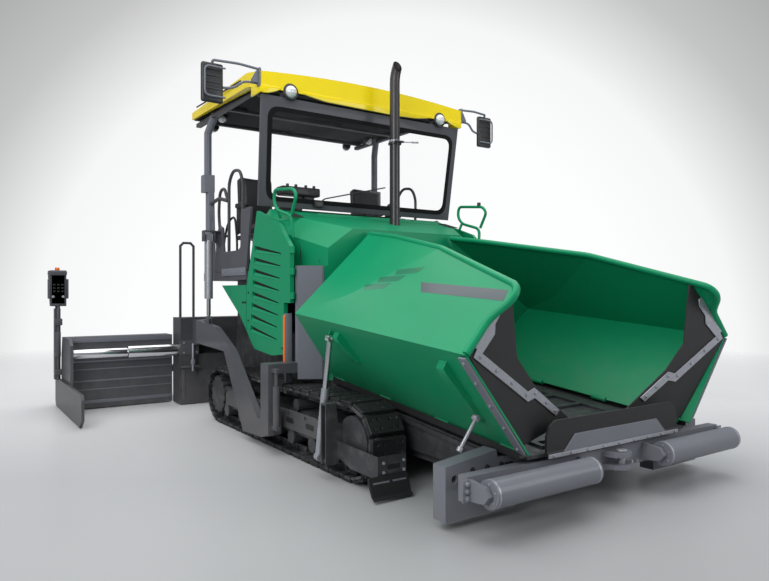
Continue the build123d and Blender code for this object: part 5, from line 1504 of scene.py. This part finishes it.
def seat_parts(sign, side):
    """Cushion, backrest, shell, slide and arm of one seat."""
    shift = Vector((0, (sign - 1) * SEAT_Y, 0))
    seat_pad = cushion("seat_pad_" + side, seat_low + shift, seat_high + shift)
    back_pad = cushion("back_pad_" + side, back_low + shift, back_high + shift, math.radians(-7),
                       back_pivot + shift)
    for pad_piece in (seat_pad, back_pad):
        wear(pad_piece, vinyl, "chassis")
    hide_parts("seats")
    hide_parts("seats")
    y = SEAT_Y * sign
    base = joined("seat_base_" + side, [
        block("seat_shell", (-1.235, y - 0.235, 1.985), (-0.765, y + 0.235, 2.035), 0.012, 2),
        plate("back_shell", rounded([(0, 0), (0.05, 0), (0.01, 0.62), (-0.055, 0.62)], 0.02, 3),
              plane((-1.262, y + 0.20, 2.06), (1, 0, 0), (0, 0, 1)), 0.40, 0.006),
        block("seat_post", (-1.12, y - 0.10, 1.62), (-0.88, y + 0.10, 1.99), 0.01),
        block("seat_foot", (-1.18, y - 0.16, 1.62), (-0.82, y + 0.16, 1.66), 0.008)])
    wear(base, plastic, "chassis")
    welt = piping("seat_welt_" + side, seat_low + shift, seat_high + shift)
    wear(welt, rubber, "chassis")
    for arm_side in (-1, 1):
        arm = block("armrest_%s_%d" % (side, arm_side), (-1.16, y + arm_side * 0.26 - 0.03, 2.33),
                    (-0.86, y + arm_side * 0.26 + 0.03, 2.385), 0.018, 3)
        wear(arm, vinyl, "chassis")
        bracket = plate("arm_bracket_%s_%d" % (side, arm_side),
                        rounded([(0, 0), (0.05, 0), (0.05, 0.30), (0, 0.30)], 0.012, 2),
                        plane((-1.16, y + arm_side * 0.26 + 0.008, 2.04), (1, 0, 0), (0, 0, 1)), 0.016, 0.003)
        wear(bracket, plastic, "chassis")


for sign, side in ((1, "left"), (-1, "right")):
    seat_parts(sign, side)

# %% [markdown]
# ## Console
# The console runs from seat to seat, with a sloping desk of switches in front of the driver.

# %% Desk with its display, knobs and steering grip
desk_up = Vector((0.21, 0, 0.19)).normalized()
desk_frame = plane((-0.622, 0, 2.062), (0, -1, 0), desk_up)
desk_out = (desk_frame.to_3x3() @ Vector((0, 0, 1))).normalized()
desk = plate("console_desk", rounded(rectangle(-0.69, 0.012, 0.69, 0.272), 0.03, 5), desk_frame, 0.018, 0.004)
wear(desk, plastic, "chassis")
screen_glow = plate("console_display", rounded(rectangle(-0.56, 0.09, -0.36, 0.23), 0.012, 3),
                    plane(desk_frame @ Vector((0, 0, 0.0185)), (0, -1, 0), desk_up), 0.003, 0.001)
wear(screen_glow, lens, "chassis")


def knob_at(x, y, radius=0.018, height=0.028):
    """Knob on the desk: a short bar with a small chamfer round both ends."""
    foot = desk_frame @ Vector((x, y, 0.016))
    return round_bar("knob", foot, foot + desk_out * height, radius, 0.004, 16)


knobs = joined("console_knobs", [knob_at(x, y) for x in (-0.26, -0.16, -0.06, 0.16, 0.26, 0.36, 0.46, 0.56)
                                 for y in (0.07, 0.15, 0.22)])
wear(knobs, dark_paint, "chassis")
stop_knob = knob_at(0.02, 0.15, 0.024, 0.04)
stop_knob.name = "stop_knob"
wear(stop_knob, orange, "chassis")
nothing_selected()
bpy.ops.mesh.primitive_torus_add(major_radius=0.11, minor_radius=0.013, major_segments=36, minor_segments=10,
                                 location=(-0.66, 0.40, 2.26), rotation=(0, math.radians(-42), 0))
steering = joined("steering_grip",
                  [done(named("steering_grip"), 60),
                   round_bar("steering_post", (-0.60, 0.40, 2.14), (-0.662, 0.40, 2.262), 0.02),
                   round_bar("steering_spoke", (-0.66, 0.295, 2.26), (-0.66, 0.505, 2.26), 0.010)])
wear(steering, plastic, "chassis")
print("cab furnished")

# %% Control arm beside the near seat
control = [block("arm_body", (-0.69, 0.30, 2.440), (-0.53, 0.76, 2.535), 0.018, 3),
           block("arm_stem", (-0.63, 0.50, 2.15), (-0.57, 0.58, 2.45), 0.006),
           block("arm_box", (-0.70, 0.36, 2.39), (-0.56, 0.48, 2.45), 0.012, 3)]
control += [round_bar("arm_knob", (-0.61, y, 2.530), (-0.61, y, 2.570), 0.016, 0.005)
            for y in (0.34, 0.44, 0.56, 0.66)]
wear(twin_of(joined("control_arm", control), "control_arm_right"), plastic, "chassis")
masters.append(bpy.data.objects["control_arm"])

# %% [markdown]
# ## Push rollers and bumper
# The rollers push the wheels of the truck that tips into the hopper. Each turns on a bearing with a
# bolted cap at both ends; the bumper behind them has plugged holes and the bolts of its brackets.

# %% Roller caps, bumper bolts and clevis bolts
ROLLER = Vector((3.135, 0, 0.290))
BOLT_CIRCLE, BAND_WIDTH = 0.060, 0.012
BUMPER_FRONT = 2.827


for name in ("left", "right"):
    side = 1 if name == "left" else -1
    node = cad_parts["push_roller_" + name]
    ends = sorted(abs(corner.co.y) for corner in node.data.vertices)
    radius = max(corner.co.z for corner in node.data.vertices) - ROLLER.z
    low, high = ends[0], ends[-1]
    bands = [round_bar("roller_band", (ROLLER.x, side * y, ROLLER.z),
                       (ROLLER.x, side * (y + BAND_WIDTH), ROLLER.z), radius + 0.0015, 0.001, 32)
             for y in (low + BAND_WIDTH, high - 2 * BAND_WIDTH)]
    wear(joined("roller_bands_" + name, bands), strip_steel, "push_roller_" + name)
    cap_bolts = []
    for turn in range(6):
        angle = math.radians(60 * turn + 20)
        place = Vector((ROLLER.x + BOLT_CIRCLE * math.cos(angle), 0,
                        ROLLER.z + BOLT_CIRCLE * math.sin(angle)))
        cap_bolts += [standing(place + Vector((0, side * high, 0)), (0, side, 0), 0.012),
                      standing(place + Vector((0, side * low, 0)), (0, -side, 0), 0.012)]
    heads = set_copies("roller_bolts_" + name, bolt, cap_bolts)
    wear(heads, strip_steel, "push_roller_" + name)
    print("roller", name, "from", round(low, 3), "to", round(high, 3), "radius", round(radius, 3))

bolts_both("bumper_plugs",
           [(BUMPER_FRONT, y, z) for y, z in ((1.10, 0.335), (0.98, 0.335), (1.04, 0.30), (0.86, 0.335))],
           (1, 0, 0), 0.026, rubber, "chassis")
# Black sheet on the bumper: painted shade for a slot, not a cut.
bumper_slot_shade = plate("bumper_slot", rounded(rectangle(0.76, 0.30, 0.83, 0.34), 0.008, 2),
                 plane((BUMPER_FRONT - 0.001, 0, 0), (0, 1, 0), (0, 0, 1)), 0.003, 0.0005)
pair(bumper_slot_shade, "bumper_slot", rubber, "chassis")
bracket = joined("roller_bracket", [
    block("bracket_plate", (3.010, 1.285, 0.225), (3.022, 1.345, 0.355), 0.003),
    block("bracket_foot", (2.945, 1.10, 0.185), (3.000, 1.20, 0.215), 0.004)])
pair(bracket, "roller_bracket", grey_paint, "push_beam")
bolts_both("bracket_bolts", [(3.022, 1.315, z) for z in (0.25, 0.29, 0.33)], (1, 0, 0), 0.026, strip_steel,
           "push_beam")
bolts_both("beam_bolts", [(3.010, y, 0.235) for y in (0.20, 0.26, 1.02, 1.10)], (1, 0, 0), 0.024, strip_steel,
           "push_beam")
tow_bolt = joined("tow_bolt", [round_bar("tow_shank", (3.080, 0, 0.245), (3.080, 0, 0.350), 0.0235),
                               round_bar("tow_head", (3.080, 0, 0.346), (3.080, 0, 0.362), 0.036, 0.004)])
wear(tow_bolt, strip_steel, "push_beam")

# %% [markdown]
# ## Screed extensions and end gates
# The front of each extension is stiffened by pressed ledges, and its bright guide tube has a smaller
# stage that slides in a larger one. The end gate carries a post with clamps and the crew's box, with
# rubber keys, two pale knobs and an orange lamp button on top.

# %% Ledges, bright stages, posts and boxes
FRONT_X = -2.653
ledges = [block("ledge", (FRONT_X - 0.001, 1.30, z), (FRONT_X + 0.007, 2.485, z + height), 0.0025)
          for z, height in ((0.800, 0.055), (0.560, 0.020), (0.470, 0.014), (0.330, 0.020), (0.230, 0.014),
                            (0.070, 0.040))]
pair(joined("extension_ledge", ledges), "extension_ledge", grey_paint, "extension_SIDE")
bolts_both("ledge_bolts", [(FRONT_X, y, 0.620) for y in (1.70, 1.78, 2.20, 2.28)], (1, 0, 0), 0.018,
           strip_steel, "extension_SIDE")
stage = round_bar("inner_stage", (-2.444, 1.882, 0.680), (-2.444, 2.490, 0.680), 0.0580, 0.002, 32)
pair(stage, "inner_stage", chrome, "extension_SIDE")

POST = Vector((-3.060, 2.560, 0))
post = joined("gate_post",
              [round_bar("post_screw", POST + Vector((0.085, 0.0, 0.34)), POST + Vector((0.085, 0.0, 1.22)),
                         0.017), round_bar("post_sleeve", POST + Vector((0.085, 0.0, 0.62)),
                                           POST + Vector((0.085, 0.0, 0.92)), 0.030),
               block("post_clamp_low", POST + Vector((0.058, -0.042, 0.40)),
                     POST + Vector((0.125, 0.042, 0.47)), 0.006),
               block("post_clamp_high", POST + Vector((0.058, -0.042, 1.00)),
                     POST + Vector((0.125, 0.042, 1.08)), 0.006),
               bent_tube("post_crank", [POST + Vector((0.085, 0.0, 1.21)), POST + Vector((0.085, 0.0, 1.245)),
                                        POST + Vector((0.085, 0.07, 1.255))], 0.009, 0.02)])
pair(post, "gate_post", mid_paint, "extension_SIDE")
keys = [block("box_key", (-2.972, y, z), (-2.964, y + 0.026, z + 0.018), 0.003)
        for z in (1.40, 1.44, 1.48) for y in (2.500, 2.545, 2.590)]
pair(joined("box_keys", keys), "box_keys", rubber, "extension_SIDE")
shell = joined("box_shell", [
    block("box_front", (-2.990, 2.478, 1.25), (-2.970, 2.642, 1.62), 0.012, 3),
    block("box_hood", (-3.155, 2.462, 1.60), (-2.955, 2.655, 1.665), 0.02, 4),
    *[block("box_ear", (-3.08, y - 0.012, 1.32), (-2.97, y + 0.012, 1.56), 0.01, 3) for y in (2.456, 2.652)]])
pair(shell, "box_shell", mid_paint, "extension_SIDE")
knobs = [round_bar("box_knob", (-2.972, y, 1.345), (-2.955, y, 1.345), 0.016, 0.004) for y in (2.505, 2.615)]
pair(joined("box_knobs", knobs), "box_knobs", strip_steel, "extension_SIDE")
button = round_bar("box_button", (-3.05, 2.56, 1.663), (-3.05, 2.56, 1.700), 0.026, 0.006)
pair(button, "box_button", orange, "extension_SIDE")

# %% [markdown]
# ## Ends of the main screed
# The front of the main screed carries a stepped guard at each end. A spindle with its nut sets the
# angle of the tow arm there.

# %% Guards and spindles
SCREED_FRONT = -2.345
end_trim = [block("end_step", (SCREED_FRONT, 1.05, 0.62), (-2.322, 1.27, 0.80), 0.004),
            block("end_shelf", (SCREED_FRONT, 1.05, 0.46), (-2.300, 1.275, 0.485), 0.004),
            block("end_rib", (SCREED_FRONT, 1.225, 0.06), (-2.322, 1.262, 0.44), 0.004)]
pair(joined("end_trim", end_trim), "end_trim", mid_paint, "screed")
spindle = joined("spindle", [round_bar("spindle_rod", (-2.285, 1.14, 0.42), (-2.285, 1.14, 0.76), 0.014),
                             round_bar("spindle_nut", (-2.285, 1.14, 0.50), (-2.285, 1.14, 0.56), 0.026,
                                       0.004, 6)])
pair(spindle, "spindle", strip_steel, "screed")
bolts_both("step_bolts", [(-2.322, y, z) for y in (1.08, 1.24) for z in (0.65, 0.77)], (1, 0, 0), 0.018,
           strip_steel, "screed")

# %% [markdown]
# ## Back of the screed
# The crew walks on the boards behind the screed, so these have raised bars against slipping. The
# screed's back is closed by bolted covers, each with a grip.

# %% Covers, grips and tread bars
BACK_X = -2.640
GRIP_X = BACK_X - 0.045
covers, grips, cover_bolts = [], [], []
for y in (0.22, 0.70):
    covers.append(plate("back_cover", rounded(rectangle(y, 0.50, y + 0.42, 0.98), 0.02, 3),
                        plane((BACK_X, 0, 0), (0, 1, 0), (0, 0, 1)), -0.007, 0.002))
    grips.append(bent_tube("back_grip", [(BACK_X, y + 0.14, 0.86), (GRIP_X, y + 0.14, 0.86),
                                         (GRIP_X, y + 0.28, 0.86), (BACK_X, y + 0.28, 0.86)], 0.007, 0.02))
    cover_bolts += [(BACK_X - 0.007, y + step, z) for step in (0.03, 0.39) for z in (0.53, 0.95)]
pair(joined("back_covers", covers), "back_covers", grey_paint, "screed")
pair(joined("back_grips", grips), "back_grips", rubber, "screed")
bolts_both("cover_bolts", cover_bolts, (-1, 0, 0), 0.020, strip_steel, "screed")


def tread(name, low, high, top, pitch=0.065):
    """Raised bars across a board, side by side."""
    count = int((high[1] - low[1]) / pitch)
    bars = [block("tread_bar", (low[0], low[1] + pitch * number, top - 0.001),
                  (high[0], low[1] + pitch * number + 0.016, top + 0.004), 0.0015, 1)
            for number in range(count)]
    return joined(name, bars)


pair(tread("screed_tread", (-3.195, 0.08), (-3.02, 1.24), 0.420), "screed_tread", strip_steel, "screed")
pair(tread("deck_tread", (-1.62, 0.06), (-1.30, 1.12), 1.620, 0.09), "deck_tread", strip_steel, "chassis")
print("ends trimmed")

# %% [markdown]
# ## Close
# The last lines put the master pieces away.

# %% Put the masters away
for master in masters:
    bpy.data.objects.remove(master)
